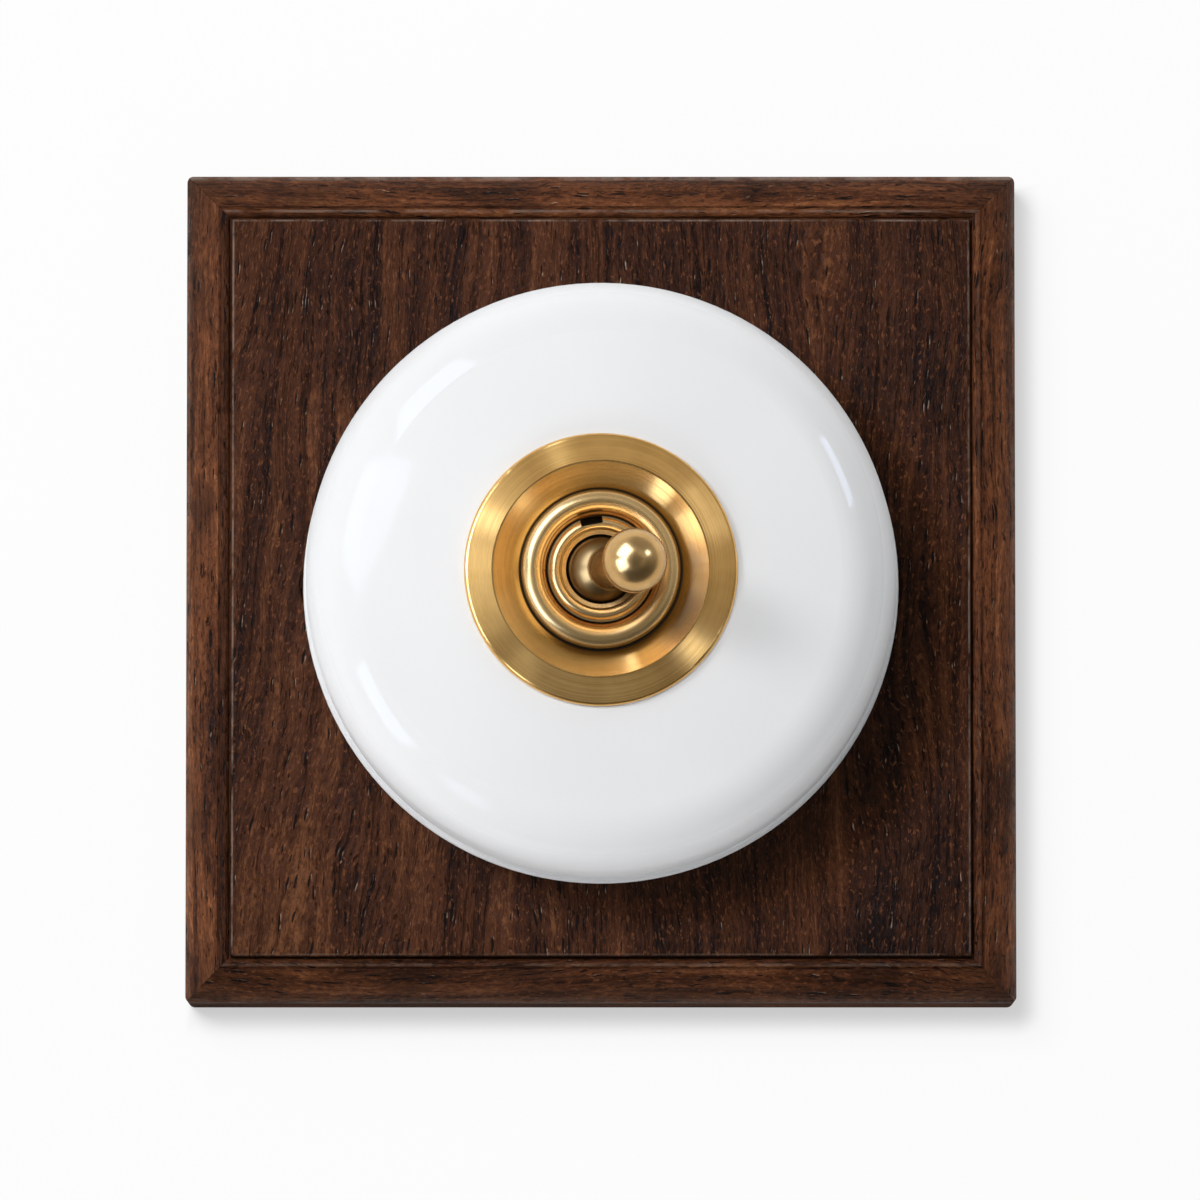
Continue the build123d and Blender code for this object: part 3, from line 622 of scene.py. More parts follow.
@dataclass(frozen=True)
class OakFinish:
    """Dark stained, open-pored oak under a thin wax."""

    name: str
    panel_edge: float
    grain: Grain
    on_moulding: bool = True
    # Brightness of the oak: board tone and, set per strip, painted light and shade for the side
    # that the strip faces.
    tone_and_painted_light: float = 1.0
    bead_painted_shadow: float = 0.0
    bead_crest_wear_and_highlight: float = 0.0
    rim_wear_and_highlight: float = 1.0
    shift: tuple[float, float, float] = (0.0, 0.0, 0.0)
    dark: Colour = (0.0095, 0.0041, 0.0026)
    brown: Colour = (0.036, 0.0118, 0.0047)
    red: Colour = (0.076, 0.0255, 0.0098)
    tan: Colour = (0.172, 0.066, 0.026)
    bright: Colour = (0.23, 0.085, 0.034)
    # Painted highlight on the lit edge of each pit.
    lit_edge_highlight: Colour = (0.42, 0.29, 0.21)
    pit: Colour = (0.005, 0.0028, 0.0022)
    # Pale colour of scuffed arrises, which also stands for painted highlight.
    rubbed_and_lit: Colour = (0.34, 0.25, 0.2)
    stops: tuple[float, ...] = (0.41, 0.465, 0.525, 0.605)
    figure: OakFigure = OakFigure()
    pores: OakPores = OakPores()
    edges: OakEdges = OakEdges()
    glints: Layer = Layer(3.8, 1.3, 2.0, 0.5, 0.5)
    glint_cut: Ease = Ease(0.6, 0.68)
    glint_share: float = 0.5
    pore_share: float = 0.85
    pit_share: float = 0.9
    lit_share: float = 0.8
    stain_and_shade_share: float = 0.7
    wear_and_highlight_share: float = 0.6
    relief_shares: tuple[float, float, float] = (0.5, 0.3, 0.2)
    relief_pits: float = 0.5
    relief_mm: float = 0.36
    fleck_rough: float = 0.25
    pore_rough: float = 0.2
    side_rough: Ease = Ease(10.2, 11.2, 0.85, 0.2)
    shine: float = 0.1

    def material(self) -> bpy.types.Material:
        """Builds the finish.

        Returns:
            The material.
        """
        material, graph = new_material(self.name)
        x, y, z = graph.place()
        wood = self.wood(graph, x, y, z)
        figure = self.figure
        layers = (figure.bands, figure.streaks, figure.flecks, figure.fibres, figure.patches)
        marks = [wood.noise(layer) for layer in layers]
        bands, streaks, flecks, fibres, _ = marks
        tone = graph.total(*zip(marks, figure.shares))
        # Only the panel gets the painted shade towards the right and the painted shadow at the
        # lower right.
        if not self.on_moulding:
            tone = figure.tone_and_painted_shade(graph, tone, x, y)
        shades = (self.dark, self.brown, self.red, self.tan)
        tinted = [tuple(part * self.tone_and_painted_light for part in shade) for shade in shades]
        colour = graph.ramp(tone, list(zip(self.stops, tinted)))

        pores = self.pores.open_pores(wood, bands)
        pits = self.pores.pits(wood, streaks)
        lit = self.pores.lit_edges(wood, streaks, pits)
        glints = graph.ease(wood.noise(self.glints), self.glint_cut)
        stain_and_shade, wear_and_highlight = self.stain_shade_wear_and_highlight(wood, x, y, z)
        # Pores and pits are the oak's own; glints and lit pit edges are painted highlights; the
        # dark edge lines are staining with painted shade; the pale edge lines are scuffing with
        # painted highlight.
        for mark, share, shade in (
            (pores, self.pore_share, self.dark),
            (glints, self.glint_share, self.bright),
            (pits, self.pit_share, self.pit),
            (lit, self.lit_share, self.lit_edge_highlight),
            (stain_and_shade, self.stain_and_shade_share, self.dark),
            (wear_and_highlight, self.wear_and_highlight_share, self.rubbed_and_lit),
        ):
            colour = graph.blend(graph.times(mark, share), colour, shade)

        relief = graph.total(*zip((flecks, streaks, fibres), self.relief_shares))
        sunk = graph.times(graph.most(pores, pits), self.relief_pits)
        relief = graph.calc("SUBTRACT", relief, sunk)
        rough = graph.total((flecks, self.fleck_rough), (pores, self.pore_rough))
        rough = graph.calc("ADD", rough, graph.ease(z, self.side_rough), clamp=True)
        graph.surface(
            Base_Color=colour,
            Roughness=rough,
            Normal=graph.bump(relief, self.relief_mm),
            Specular_IOR_Level=self.shine,
        )
        return material

    def wood(self, graph: Graph, x: Socket, y: Socket, z: Socket) -> Drawn:
        """Gives the place in the wood, whose fibres sway and lean a little.

        Args:
            graph: The graph to add to.
            x: The place across the wall.
            y: The place up the wall.
            z: The place out of the wall.

        Returns:
            The place across and along the fibres.
        """
        across, along = (x, y) if self.grain is Grain.UPRIGHT else (y, x)
        sway = self.figure.sway(graph, across, along, self.shift[1:])
        if not self.on_moulding:
            lean = graph.times(graph.ease(x, self.figure.lean), along)
            sway = graph.calc("SUBTRACT", sway, lean)
        across = graph.calc("ADD", graph.calc("ADD", across, sway), self.shift[0])
        return Drawn(graph, across, graph.calc("ADD", along, self.shift[1]), z)

    def stain_shade_wear_and_highlight(self, wood: Drawn, x: Socket, y: Socket, z: Socket) -> tuple[Socket, Socket]:
        """Gives the staining with painted shade in the grooves and the scuffing with painted
        highlight along the arrises.

        Args:
            wood: The place in the wood.
            x: The place across the wall.
            y: The place up the wall.
            z: The place out of the wall.

        Returns:
            The sockets of the staining with painted shade and of the scuffing with painted
            highlight.
        """
        graph, edges = wood.graph, self.edges
        flat_x, flat_y = graph.calc("ABSOLUTE", x), graph.calc("ABSOLUTE", y)
        out = graph.calc("SUBTRACT", graph.most(flat_x, flat_y), self.panel_edge)
        rubbed_and_lit = graph.ease(wood.noise(edges.rubbed_and_lit_patches), edges.rubbed_and_lit)
        if not self.on_moulding:
            stain_and_shade, wear_and_highlight = edges.on_panel(graph, out, y)
            return stain_and_shade, graph.times(wear_and_highlight, rubbed_and_lit)
        stain_and_shade = edges.stain_and_shade_on_strip(wood, out, graph.apart(flat_x, flat_y), self.bead_painted_shadow)
        wear_and_highlight = edges.wear_and_highlight_on_strip(graph, out, self.bead_crest_wear_and_highlight, self.rim_wear_and_highlight)
        return stain_and_shade, graph.times(graph.times(wear_and_highlight, rubbed_and_lit), graph.ease(z, edges.rim_height))


@dataclass(frozen=True)
class GlazeFinish:
    """White porcelain under a clear glaze."""

    name: str
    white: Colour
    shade: Colour
    gloss: float
    ripple_mm: float
    clouds: Noise = Noise(0.06, 3.0)
    cloud_cut: Ease = Ease(0.3, 0.7)
    speck: Colour = (0.5, 0.48, 0.45)
    speck_scale: float = 0.35
    speck_size: Ease = Ease(0.86, 1.0, 0.0, 0.06)
    speck_edge: Ease = Ease(-0.01, 0.02)
    speck_share: float = 0.35
    ripples: Noise = Noise(0.16)
    sheen: Noise = Noise(0.4, 3.0, 0.6)
    sheen_cut: tuple[float, float] = (0.3, 0.7)
    sheen_spread: float = 1.5
    wall: Ease = Ease(30.5, 34.5, 0.6, 0.0)
    shine: float = 0.45

    def material(self) -> bpy.types.Material:
        """Builds the finish.

        Returns:
            The material.
        """
        material, graph = new_material(self.name)
        x, y, z = graph.place()
        where = graph.vector(x, y, z)
        far, chance = graph.cells(where, self.speck_scale)
        size = graph.ease(chance, self.speck_size)
        specks = graph.ease(graph.calc("SUBTRACT", size, far), self.speck_edge)
        cloud = graph.ease(graph.noise(where, self.clouds), self.cloud_cut)
        colour = graph.blend(cloud, self.white, self.shade)
        colour = graph.blend(graph.times(specks, self.speck_share), colour, self.speck)
        gloss = Ease(*self.sheen_cut, self.gloss, self.gloss * self.sheen_spread)
        rough = graph.ease(graph.noise(where, self.sheen), gloss)
        graph.surface(
            Base_Color=colour,
            Roughness=graph.most(rough, graph.ease(z, self.wall)),
            Normal=graph.bump(graph.noise(where, self.ripples), self.ripple_mm),
            Specular_IOR_Level=self.shine,
        )
        return material


@dataclass(frozen=True)
class TurnedBrassFinish:
    """Satin brass with fine lathe lines round the upright axis."""

    name: str
    colour: Colour
    dark: Colour
    gloss: float
    sheen_stretch: float
    line_mm: float
    # Painted shade in dark brown: near the nut, inside the bush's mouth and in the groove round its
    # lip, where the pieces shade one another.
    painted_shade_within: float = 0.0
    painted_shade_beyond: float = 99.0
    painted_shade_below_z: float = 0.0
    dull: float = 0.0
    dull_width: float = 3.2
    tarnish: Colour = (0.33, 0.2, 0.05)
    painted_shade: Colour = (0.05, 0.028, 0.012)
    painted_shade_share: float = 0.92
    painted_shade_fade_z: float = 1.5
    painted_shade_fade_within: float = 0.3
    painted_shade_fade_beyond: float = 0.25
    lines: Layer = Layer(4.6, 0.3, 3.0, 0.7)
    broad: Layer = Layer(1.6, 0.2)
    broad_share: float = 0.35
    clouds: Noise = Noise(0.3, 3.0, 0.6)
    shade_shares: tuple[float, float] = (0.65, 0.35)
    shade_cut: Ease = Ease(0.36, 0.66)
    gloss_cut: tuple[float, float] = (0.3, 0.7)
    gloss_spread: float = 1.3
    round_the_axis: float = 0.25
    coat: float = 0.6
    coat_gloss: float = 0.22

    def material(self) -> bpy.types.Material:
        """Builds the finish.

        Returns:
            The material.
        """
        material, graph = new_material(self.name)
        x, y, z = graph.place()
        radius = graph.calc("SQRT", graph.calc("ADD", graph.times(x, x), graph.times(y, y)))
        turned = Drawn(graph, radius, graph.calc("ARCTAN2", y, x), z)
        lines = turned.noise(self.lines)
        clouds = graph.noise(graph.vector(x, y, z), self.clouds)
        shade = graph.total(*zip((lines, clouds), self.shade_shares))
        colour = graph.blend(graph.ease(shade, self.shade_cut), self.colour, self.dark)
        inner = Ease(self.painted_shade_within, self.painted_shade_within + self.dull_width, self.dull, 0.0)
        colour = graph.blend(graph.ease(radius, inner), colour, self.tarnish)
        # Painted shade in the recesses.
        colour = graph.blend(self.painted_shade_on(graph, radius, z), colour, self.painted_shade)
        relief = graph.calc("ADD", lines, graph.times(turned.noise(self.broad), self.broad_share))
        gloss = Ease(*self.gloss_cut, self.gloss, self.gloss * self.gloss_spread)
        tangent = graph.node("ShaderNodeTangent", direction_type="RADIAL", axis="Z")
        graph.surface(
            Base_Color=colour,
            Metallic=1.0,
            Roughness=graph.ease(lines, gloss),
            Normal=graph.bump(relief, self.line_mm),
            Anisotropic=self.sheen_stretch,
            Anisotropic_Rotation=self.round_the_axis,
            Tangent=tangent.outputs[0],
            Coat_Weight=self.coat,
            Coat_Roughness=self.coat_gloss,
        )
        return material

    def painted_shade_on(self, graph: Graph, radius: Socket, z: Socket) -> Socket:
        """Gives painted shade low down, near the middle and further out, where the pieces shade one
        another.

        Args:
            graph: The graph to add to.
            radius: The distance from the axis.
            z: The place out of the wall.

        Returns:
            The socket of how much painted shade there is.
        """
        share, within, beyond = self.painted_shade_share, self.painted_shade_within, self.painted_shade_beyond
        return graph.most(
            graph.ease(z, Ease(self.painted_shade_below_z - self.painted_shade_fade_z, self.painted_shade_below_z, share, 0.0)),
            graph.ease(radius, Ease(within - self.painted_shade_fade_within, within, share, 0.0)),
            graph.ease(radius, Ease(beyond, beyond + self.painted_shade_fade_beyond, 0.0, share)),
        )


@dataclass(frozen=True)
class SatinMetalFinish:
    """Satin metal with a fine even grain."""

    name: str
    colour: Colour
    dark: Colour
    gloss: float
    grain_mm: float
    painted_shade_below_z: float = 0.0
    painted_shade_fade_z: float = 3.5
    painted_shade_share: float = 0.9
    painted_shade_level: float = 0.3
    painted_shade_rough: float = 0.1
    grain: Noise = Noise(9.0, 3.0, 0.65)
    clouds: Noise = Noise(0.35, 3.0, 0.6)
    shade_shares: tuple[float, float] = (0.35, 0.65)
    shade_cut: Ease = Ease(0.38, 0.68)
    gloss_cut: tuple[float, float] = (0.3, 0.7)
    gloss_spread: float = 1.3

    def material(self) -> bpy.types.Material:
        """Builds the finish.

        Returns:
            The material.
        """
        material, graph = new_material(self.name)
        x, y, z = graph.place()
        where = graph.vector(x, y, z)
        grain, clouds = graph.noise(where, self.grain), graph.noise(where, self.clouds)
        shade = graph.total(*zip((grain, clouds), self.shade_shares))
        colour = graph.blend(graph.ease(shade, self.shade_cut), self.colour, self.dark)
        # Painted shade below a given height, with a rougher surface there.
        low = Ease(self.painted_shade_below_z - self.painted_shade_fade_z, self.painted_shade_below_z, self.painted_shade_share, 0.0)
        painted_shade = graph.ease(z, low)
        colour = graph.blend(painted_shade, colour, tuple(part * self.painted_shade_level for part in self.dark))
        gloss = Ease(*self.gloss_cut, self.gloss, self.gloss * self.gloss_spread)
        rough = graph.calc("ADD", graph.ease(clouds, gloss), graph.times(painted_shade, self.painted_shade_rough))
        normal = graph.bump(grain, self.grain_mm)
        graph.surface(Base_Color=colour, Metallic=1.0, Roughness=rough, Normal=normal)
        return material


@dataclass(frozen=True)
class FibreFinish:
    """Dark moulded insulator with a faint mottle."""

    name: str
    colour: Colour
    light: Colour
    mottle: Noise = Noise(2.2, 4.0, 0.6)
    mottle_cut: Ease = Ease(0.4, 0.7)
    gloss: Ease = Ease(0.3, 0.7, 0.42, 0.6)
    grain: Noise = Noise(8.0)
    grain_mm: float = 0.01

    def material(self) -> bpy.types.Material:
        """Builds the finish.

        Returns:
            The material.
        """
        material, graph = new_material(self.name)
        where = graph.vector(*graph.place())
        mottle = graph.noise(where, self.mottle)
        graph.surface(
            Base_Color=graph.blend(graph.ease(mottle, self.mottle_cut), self.colour, self.light),
            Roughness=graph.ease(mottle, self.gloss),
            Normal=graph.bump(graph.noise(where, self.grain), self.grain_mm),
        )
        return material


def dress(node: str, material: bpy.types.Material) -> None:
    """Gives a piece its finish.

    Args:
        node: The piece's name.
        material: The finish.
    """
    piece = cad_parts[node]
    piece.data.materials.clear()
    piece.data.materials.append(material)
    LOG.info("%s: %s", node, material.name)


@dataclass
class Pattress:
    """The oak backing board: a raised panel in four mitred mouldings."""

    panel_edge: float = 42.3

    def dress(self) -> None:
        """Dresses the panel and each moulding, with the grain along its length."""
        edge, upright, level = self.panel_edge, Grain.UPRIGHT, Grain.LEVEL
        # Per strip, each set by the side the strip faces: brightness with painted light and shade,
        # painted shadow on the bead, and painted highlight on crest and rim.
        finishes = {
            "pattress_panel": OakFinish("oak_panel", edge, upright, on_moulding=False),
            "moulding_top": OakFinish(
                "oak_moulding_top", edge, level, tone_and_painted_light=2.0, bead_crest_wear_and_highlight=0.6, shift=(0.0, 31.0, 3.0)
            ),
            "moulding_bottom": OakFinish(
                "oak_moulding_bottom", edge, level, tone_and_painted_light=1.35, bead_painted_shadow=0.3, bead_crest_wear_and_highlight=0.4,
                rim_wear_and_highlight=0.2, shift=(17.0, 0.0, 5.0),
            ),
            "moulding_left": OakFinish(
                "oak_moulding_left", edge, upright, tone_and_painted_light=2.3, bead_painted_shadow=0.7,
                rim_wear_and_highlight=0.3, shift=(9.0, 57.0, 7.0),
            ),
            "moulding_right": OakFinish(
                "oak_moulding_right", edge, upright, tone_and_painted_light=2.4, bead_painted_shadow=0.15, bead_crest_wear_and_highlight=0.2,
                rim_wear_and_highlight=0.5, shift=(23.0, 83.0, 9.0),
            ),
        }
        for node, finish in finishes.items():
            dress(node, finish.material())


@dataclass
class Porcelain:
    """The glazed cover and the base inside it."""

    cover: GlazeFinish = GlazeFinish(
        "white_glaze", white=(0.875, 0.883, 0.893), shade=(0.862, 0.87, 0.879),
        gloss=0.035, ripple_mm=0.012,
    )
    base: GlazeFinish = GlazeFinish(
        "thin_glaze", white=(0.8, 0.79, 0.76), shade=(0.74, 0.73, 0.7), gloss=0.3, ripple_mm=0.02
    )

    def dress(self) -> None:
        """Dresses both pieces."""
        dress("porcelain_cover", self.cover.material())
        dress("porcelain_base", self.base.material())


@dataclass
class BrassFront:
    """The turned brass that shows on the dome."""

    # Painted shade on the bezel beside the nut, at the nut's foot and round the bush's lip.
    bezel: TurnedBrassFinish = TurnedBrassFinish(
        "turned_bezel", BRASS, BRASS_DARK, gloss=0.19, sheen_stretch=0.75, line_mm=0.003,
        painted_shade_within=9.4, dull=0.72,
    )
    nut: TurnedBrassFinish = TurnedBrassFinish(
        "turned_nut", PALE_BRASS, PALE_BRASS_DARK, gloss=0.24, sheen_stretch=0.5, line_mm=0.0025,
        painted_shade_within=6.38, painted_shade_below_z=39.2,
    )
    bush: TurnedBrassFinish = TurnedBrassFinish(
        "turned_bush", PALE_BRASS, PALE_BRASS_DARK, gloss=0.22, sheen_stretch=0.5, line_mm=0.003,
        painted_shade_beyond=5.8, painted_shade_below_z=38.4,
    )

    def dress(self) -> None:
        """Dresses bezel, nut and bush."""
        dress("bezel", self.bezel.material())
        dress("ring_nut", self.nut.material())
        dress("threaded_bush", self.bush.material())


@dataclass
class Lever:
    """The dolly and what slides in its tail."""

    # The hub, down in the bush's mouth, gets painted shade.
    dolly: SatinMetalFinish = SatinMetalFinish(
        "lever_brass", colour=(0.67, 0.42, 0.17), dark=(0.53, 0.32, 0.12),
        gloss=0.2, grain_mm=0.0015, painted_shade_below_z=43.0,
    )
    plunger: FibreFinish = FibreFinish(
        "plunger_fibre", colour=(0.03, 0.02, 0.016), light=(0.06, 0.04, 0.03)
    )
    spring: SatinMetalFinish = SatinMetalFinish(
        "spring_steel", colour=(0.6, 0.6, 0.62), dark=(0.42, 0.42, 0.44), gloss=0.25, grain_mm=0.002
    )

    def dress(self) -> None:
        """Dresses the dolly, plunger and spring."""
        dress("dolly", self.dolly.material())
        dress("plunger", self.plunger.material())
        dress("plunger_spring", self.spring.material())


@dataclass
class Works:
    """The pieces inside the dome."""

    brass: SatinMetalFinish = SatinMetalFinish(
        "works_brass", colour=(0.78, 0.56, 0.26), dark=(0.6, 0.4, 0.16), gloss=0.3, grain_mm=0.004
    )
    brass_pieces: tuple[str, ...] = (
        "bridge", "bridge_screws", "rocker", "terminal_common", "terminal_left", "terminal_right",
        "clamp_screws", "terminal_screws", "base_screws",
    )
    steel: SatinMetalFinish = SatinMetalFinish(
        "pin_steel", colour=(0.12, 0.11, 0.1), dark=(0.07, 0.065, 0.06), gloss=0.35, grain_mm=0.002
    )
    pins: tuple[str, ...] = ("pivot_pin", "rocker_pin")
    silver: SatinMetalFinish = SatinMetalFinish(
        "contact_silver", colour=(0.85, 0.84, 0.8), dark=(0.6, 0.58, 0.54),
        gloss=0.2, grain_mm=0.002,
    )
    contacts: tuple[str, ...] = ("moving_contacts", "fixed_contacts")

    def dress(self) -> None:
        """Dresses every inner piece."""
        for finish, nodes in (
            (self.brass, self.brass_pieces),
            (self.steel, self.pins),
            (self.silver, self.contacts),
        ):
            material = finish.material()
            for node in nodes:
                dress(node, material)


@dataclass(frozen=True)
class SoftBox:
    """One studio lamp with an oblong face; its angles are in degrees, its sizes in metres."""

    name: str
    azimuth: float
    elevation: float
    width: float
    height: float
    radiance: float
    use: LampUse
    distance: float = 1.0

    def place(
        self,
        aim: Vector,
        shown_on: bpy.types.Collection | None,
        shaded_by: bpy.types.Collection | None,
    ) -> None:
        """Hangs the lamp so that it faces the object.

        Args:
            aim: The point it faces.
            shown_on: The pieces it shines on, where that is not all of them.
            shaded_by: The pieces that stand in its light, where that is not all of them.
        """
        turn, rise = math.radians(self.azimuth), math.radians(self.elevation)
        flat = math.cos(rise)
        way = Vector((math.cos(turn) * flat, math.sin(turn) * flat, math.sin(rise)))
        data = bpy.data.lights.new(self.name, "AREA")
        data.shape = "RECTANGLE"
        data.size = self.width
        data.size_y = self.height
        data.energy = self.radiance * math.pi * self.width * self.height
        lamp = bpy.data.objects.new(self.name, data)
        bpy.context.scene.collection.objects.link(lamp)
        lamp.location = aim + way * self.distance
        lamp.rotation_mode = "QUATERNION"
        lamp.rotation_quaternion = (-way).to_track_quat("-Z", "Y")
        lights = self.use in (LampUse.LIGHT, LampUse.REST_LIGHT, LampUse.COVER_LIGHT)
        lamp.visible_camera = False
        lamp.visible_diffuse = lights
        lamp.visible_glossy = not lights
        data.color = NEUTRAL if lights else DAYLIGHT
        if shown_on is not None:
            lamp.light_linking.receiver_collection = shown_on
        if shaded_by is not None:
            lamp.light_linking.blocker_collection = shaded_by
        LOG.info("lamp %s", self.name)


@dataclass(frozen=True)
class Glow:
    """A pale wall that shows low down on one side of the room."""

    azimuth: float
    edge: float
    middle: float
    level: float
    top: Ease = Ease(0.3, 0.55, 1.0, 0.0)

    def shine(self, graph: Graph, x: Socket, y: Socket, z: Socket) -> Socket:
        """Gives how bright the wall is in each direction.

        Args:
            graph: The world's graph.
            x: The direction's part to the right.
            y: Its part up the wall.
            z: Its part out of the wall.

        Returns:
            The brightness's socket.
        """
        turn = math.radians(self.azimuth)
        facing = graph.total((x, math.cos(turn)), (y, math.sin(turn)))
        shown = graph.ease(facing, Ease(self.edge, self.middle, 0.0, self.level))
        return graph.times(shown, graph.ease(z, self.top))


@dataclass
class Studio:
    """Floor, lamps, surroundings and camera."""

    lean: float = 4.5
    distance: float = 1.4
    frame_width: float = 0.1366
    sensor_width: float = 36.0
    clip: tuple[float, float] = (0.01, 20.0)
    aim: Vector = field(default_factory=lambda: Vector((-0.0001, -0.002, 0.02)))
    floor_side: float = 6.0
    floor_white: Colour = (0.99, 0.99, 0.99)
    floor_reach: float = 47.5
    # Painted light on the floor: white mixed in by distance from the object and on the lit sides,
    # which shortens and lightens the cast shadow.
    floor_lift: Ease = Ease(0.3, 3.8, 0.54, 0.9)
    lit_side_lift: Ease = Ease(46.0, 48.0, 0.0, 0.9)
    room: tuple[tuple[float, float], ...] = (
        (0.0, 0.5), (0.3, 0.38), (0.68, 0.33), (0.85, 0.58), (0.97, 0.24),
    )
    room_rise: Ease = Ease(-0.65, 0.4, 0.31, 1.0)
    room_share: Ease = Ease(0.0, 1.0, 0.7, 1.0)
    glows: tuple[Glow, ...] = (Glow(206.0, 0.6, 0.97, 1.2), Glow(132.0, 0.7, 0.98, 0.7))
    lamps: tuple[SoftBox, ...] = (
        SoftBox("key", 140.0, 66.0, 0.26, 0.26, 20.2, LampUse.REST_LIGHT, distance=0.8),
        SoftBox("fill", 315.0, 60.0, 0.8, 0.8, 0.12, LampUse.LIGHT),
        SoftBox("cover_high", 112.0, 76.0, 0.26, 0.26, 10.7, LampUse.COVER_LIGHT, distance=0.8),
        SoftBox("cover_key", 155.0, 44.0, 0.22, 0.22, 19.0, LampUse.COVER_LIGHT),
        SoftBox("cover_fill", 250.0, 22.0, 0.6, 0.3, 6.6, LampUse.COVER_LIGHT),
        SoftBox("cover_upper_fill", 75.0, 25.0, 0.6, 0.3, 3.0, LampUse.COVER_LIGHT),
        SoftBox("wood_window", 148.0, 60.0, 0.14, 0.14, 40.0, LampUse.WOOD),
        SoftBox("upper_window", 129.0, 43.0, 0.26, 0.46, 2.0, LampUse.GLAZE),
        SoftBox("left_window", 161.0, 48.0, 0.33, 0.56, 1.7, LampUse.GLAZE),
        SoftBox("lower_window", 207.0, 36.0, 0.31, 0.36, 2.5, LampUse.GLAZE),
        SoftBox("lowest_window", 236.0, 34.0, 0.17, 0.3, 1.6, LampUse.GLAZE),
        SoftBox("right_strip", 28.0, 30.0, 0.24, 0.2, 3.6, LampUse.GLAZE),
        SoftBox("cone_left", 148.0, 57.0, 0.1, 0.24, 2.2, LampUse.BEZEL),
        SoftBox("cone_right", 36.0, 56.0, 0.26, 0.16, 0.8, LampUse.BEZEL),
        SoftBox("cone_low", 326.0, 57.0, 0.1, 0.24, 2.4, LampUse.BEZEL),
        SoftBox("cone_bottom", 268.0, 62.0, 0.6, 0.18, 0.3, LampUse.BEZEL),
        SoftBox("funnel_right", 185.0, 41.0, 0.62, 0.2, 9.5, LampUse.BEZEL),
        SoftBox("funnel_right_low", 170.0, 34.0, 0.14, 0.22, 17.0, LampUse.BEZEL),
        SoftBox("funnel_right_edge", 227.0, 44.0, 0.16, 0.24, 5.6, LampUse.BEZEL),
        SoftBox("funnel_left", 328.0, 42.0, 0.12, 0.24, 3.0, LampUse.BEZEL),
        SoftBox("funnel_bottom", 108.0, 42.0, 0.07, 0.22, 5.2, LampUse.BEZEL),
        SoftBox("funnel_low", 147.0, 34.0, 0.44, 0.24, 9.0, LampUse.BEZEL),
        SoftBox("nut_upper", 142.0, 49.0, 0.64, 0.66, 3.0, LampUse.NUT),
        SoftBox("nut_lower", 202.0, 42.0, 0.56, 0.5, 3.4, LampUse.NUT),
        SoftBox("lever_upper", 140.0, 45.0, 0.8, 0.72, 4.8, LampUse.LEVER),
        SoftBox("lever_lower", 201.0, 42.0, 0.66, 0.66, 4.8, LampUse.LEVER),
        SoftBox("lever_right", 27.0, 38.0, 0.18, 0.22, 7.5, LampUse.LEVER),
    )
    shown_on: dict[LampUse, tuple[str, ...]] = field(
        default_factory=lambda: {
            LampUse.COVER_LIGHT: ("porcelain_cover",),
            LampUse.GLAZE: ("porcelain_cover",),
            LampUse.BEZEL: ("bezel",),
            LampUse.NUT: ("ring_nut", "threaded_bush"),
            LampUse.LEVER: ("dolly",),
            LampUse.WOOD: (
                "pattress_panel",
                *(f"moulding_{side}" for side in ("top", "bottom", "left", "right")),
            ),
        }
    )

    def build(self) -> None:
        """Sets up everything round the object."""
        floor = self.floor()
        self.surroundings()
        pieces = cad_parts
        shown_on = {
            use: self.gather(use, [pieces[node] for node in nodes])
            for use, nodes in self.shown_on.items()
        }
        covers = self.shown_on[LampUse.COVER_LIGHT]
        rest = [piece for node, piece in pieces.items() if node not in covers]
        shown_on[LampUse.REST_LIGHT] = self.gather(LampUse.REST_LIGHT, [*rest, floor])
        shaded_by = {LampUse.BEZEL: shown_on[LampUse.NUT]}
        for lamp in self.lamps:
            lamp.place(self.aim, shown_on.get(lamp.use), shaded_by.get(lamp.use))
        self.camera()

    def gather(self, use: LampUse, pieces: list[bpy.types.Object]) -> bpy.types.Collection:
        """Gathers the pieces that one kind of lamp shines on.

        Args:
            use: The kind of lamp.
            pieces: The pieces.

        Returns:
            The collection of pieces.
        """
        gathered = bpy.data.collections.new(f"shown_on_{use.value}")
        for piece in pieces:
            gathered.objects.link(piece)
        return gathered

    def floor(self) -> bpy.types.Object:
        """Lays the white floor, which keeps the shadow, with painted light that fades the shadow
        away from the object.

        Returns:
            The floor.
        """
        half = self.floor_side / 2
        corners = [(-half, -half, 0.0), (half, -half, 0.0), (half, half, 0.0), (-half, half, 0.0)]
        mesh = bpy.data.meshes.new("floor")
        mesh.from_pydata(corners, [], [tuple(range(len(corners)))])
        floor = bpy.data.objects.new("floor", mesh)
        bpy.context.scene.collection.objects.link(floor)
        material, graph = new_material("white_floor")
        paper = graph.node("ShaderNodeBsdfDiffuse")
        paper.inputs["Color"].default_value = (*self.floor_white, 1.0)
        light = graph.node("ShaderNodeEmission")
        light.inputs["Strength"].default_value = 1.0
        mixed = graph.node("ShaderNodeMixShader")
        graph.feed(mixed.inputs[0], graph.times(graph.seen(), self.lift(graph)))
        graph.feed(mixed.inputs[1], paper.outputs[0])
        graph.feed(mixed.inputs[2], light.outputs[0])
        output = graph.node("ShaderNodeOutputMaterial")
        graph.feed(output.inputs["Surface"], mixed.outputs[0])
        mesh.materials.append(material)
        LOG.info("floor")
        return floor

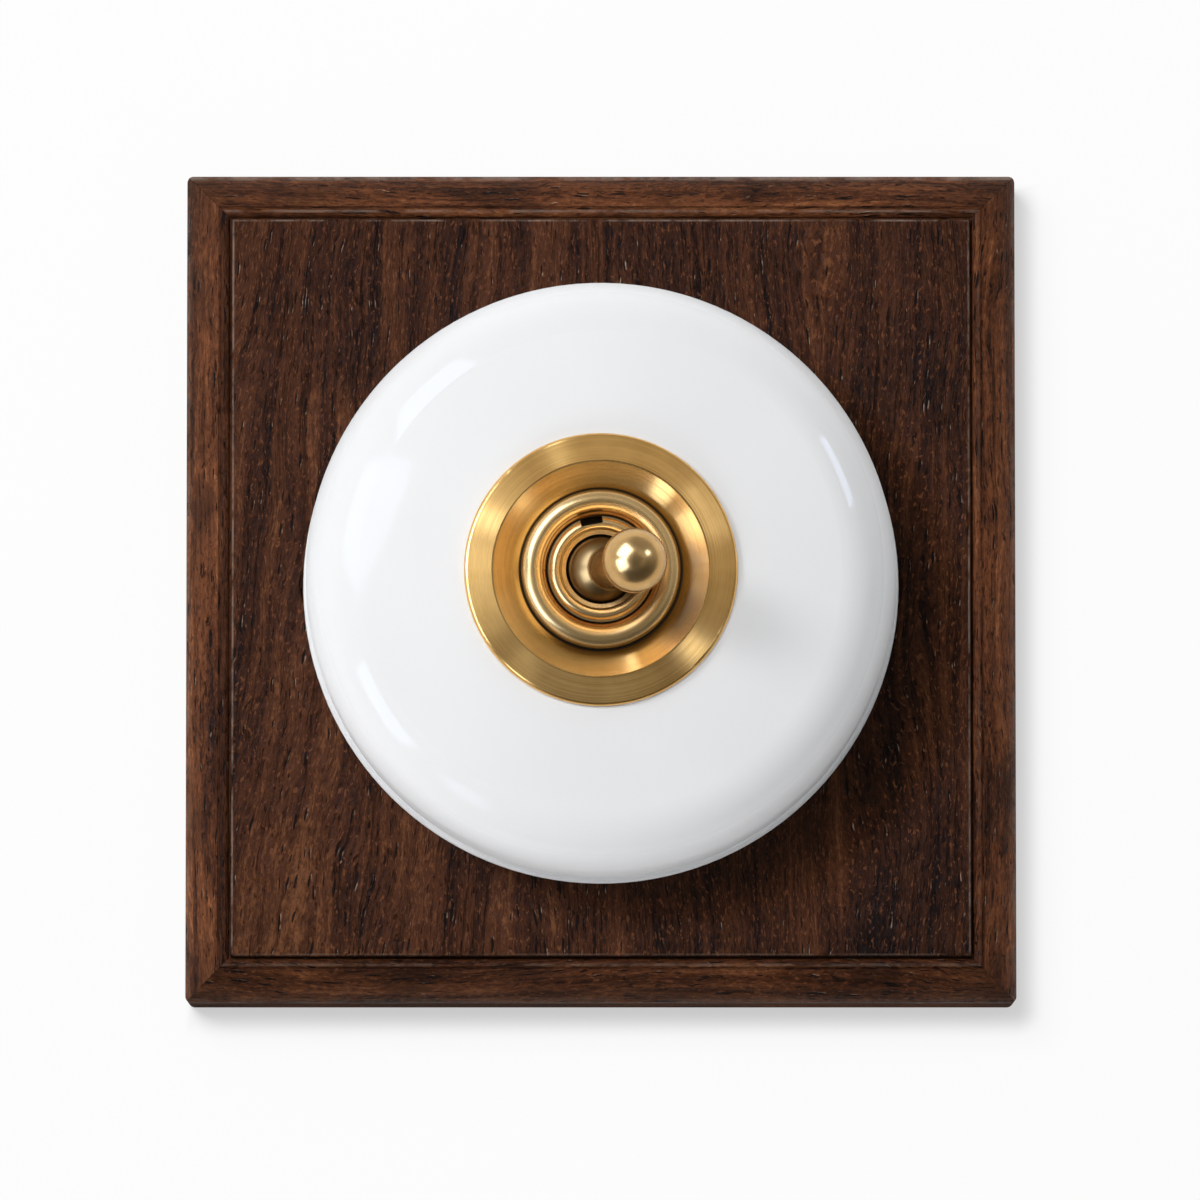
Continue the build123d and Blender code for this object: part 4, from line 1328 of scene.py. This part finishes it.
    def lift(self, graph: Graph) -> Socket:
        """Gives how much painted white light the floor gets: most away from the object and on the
        lit sides, which keeps the cast shadow short.

        Args:
            graph: The floor's graph.

        Returns:
            The socket of the share of white.
        """
        x, y, _ = graph.place()
        past = [
            graph.most(graph.calc("SUBTRACT", graph.calc("ABSOLUTE", way), self.floor_reach), 0.0)
            for way in (x, y)
        ]
        beyond = graph.node("ShaderNodeVectorMath", operation="LENGTH")
        graph.feed(beyond.inputs[0], graph.vector(*past, 0.0))
        lit_side = graph.most(graph.times(x, -1.0), y)
        return graph.most(
            graph.ease(beyond.outputs["Value"], self.floor_lift),
            graph.ease(lit_side, self.lit_side_lift),
        )

    def surroundings(self) -> None:
        """Lights the scene from a pale room that darkens overhead."""
        world = bpy.data.worlds.new("studio")
        world.use_nodes = True
        graph = Graph(world.node_tree)
        parts = graph.node("ShaderNodeSeparateXYZ")
        graph.feed(parts.inputs[0], graph.node("ShaderNodeTexCoord").outputs["Generated"])
        x, y, z = parts.outputs
        level = graph.ease(y, self.room_rise)
        for glow in self.glows:
            level = graph.calc("ADD", level, glow.shine(graph, x, y, z))
        level = graph.times(level, graph.ease(graph.seen(), self.room_share))
        back = graph.node("ShaderNodeBackground")
        greys = [(at, (grey, grey, grey)) for at, grey in self.room]
        graph.feed(back.inputs["Color"], graph.ramp(z, greys))
        graph.feed(back.inputs["Strength"], level)
        output = graph.node("ShaderNodeOutputWorld")
        graph.feed(output.inputs["Surface"], back.outputs[0])
        bpy.context.scene.world = world
        LOG.info("surroundings")

    def camera(self) -> None:
        """Sets the camera almost straight above the front."""
        tilt = math.radians(self.lean)
        back = Vector((0.0, -math.sin(tilt), math.cos(tilt)))
        data = bpy.data.cameras.new("camera")
        data.sensor_width = self.sensor_width
        data.lens = data.sensor_width * self.distance / self.frame_width
        data.clip_start, data.clip_end = self.clip
        camera = bpy.data.objects.new("camera", data)
        bpy.context.scene.collection.objects.link(camera)
        camera.location = self.aim + back * self.distance
        camera.rotation_mode = "QUATERNION"
        camera.rotation_quaternion = (-back).to_track_quat("-Z", "Y")
        bpy.context.scene.camera = camera
        bpy.context.scene.view_settings.view_transform = "Standard"
        LOG.info("camera")


def main() -> None:
    """Builds and dresses the switch, piece by piece."""
    logging.basicConfig(level=logging.INFO, format="%(message)s")
    Pattress().dress()
    Porcelain().dress()
    BrassFront().dress()
    Lever().dress()
    Works().dress()
    Studio().build()


if __name__ == "__main__":
    main()
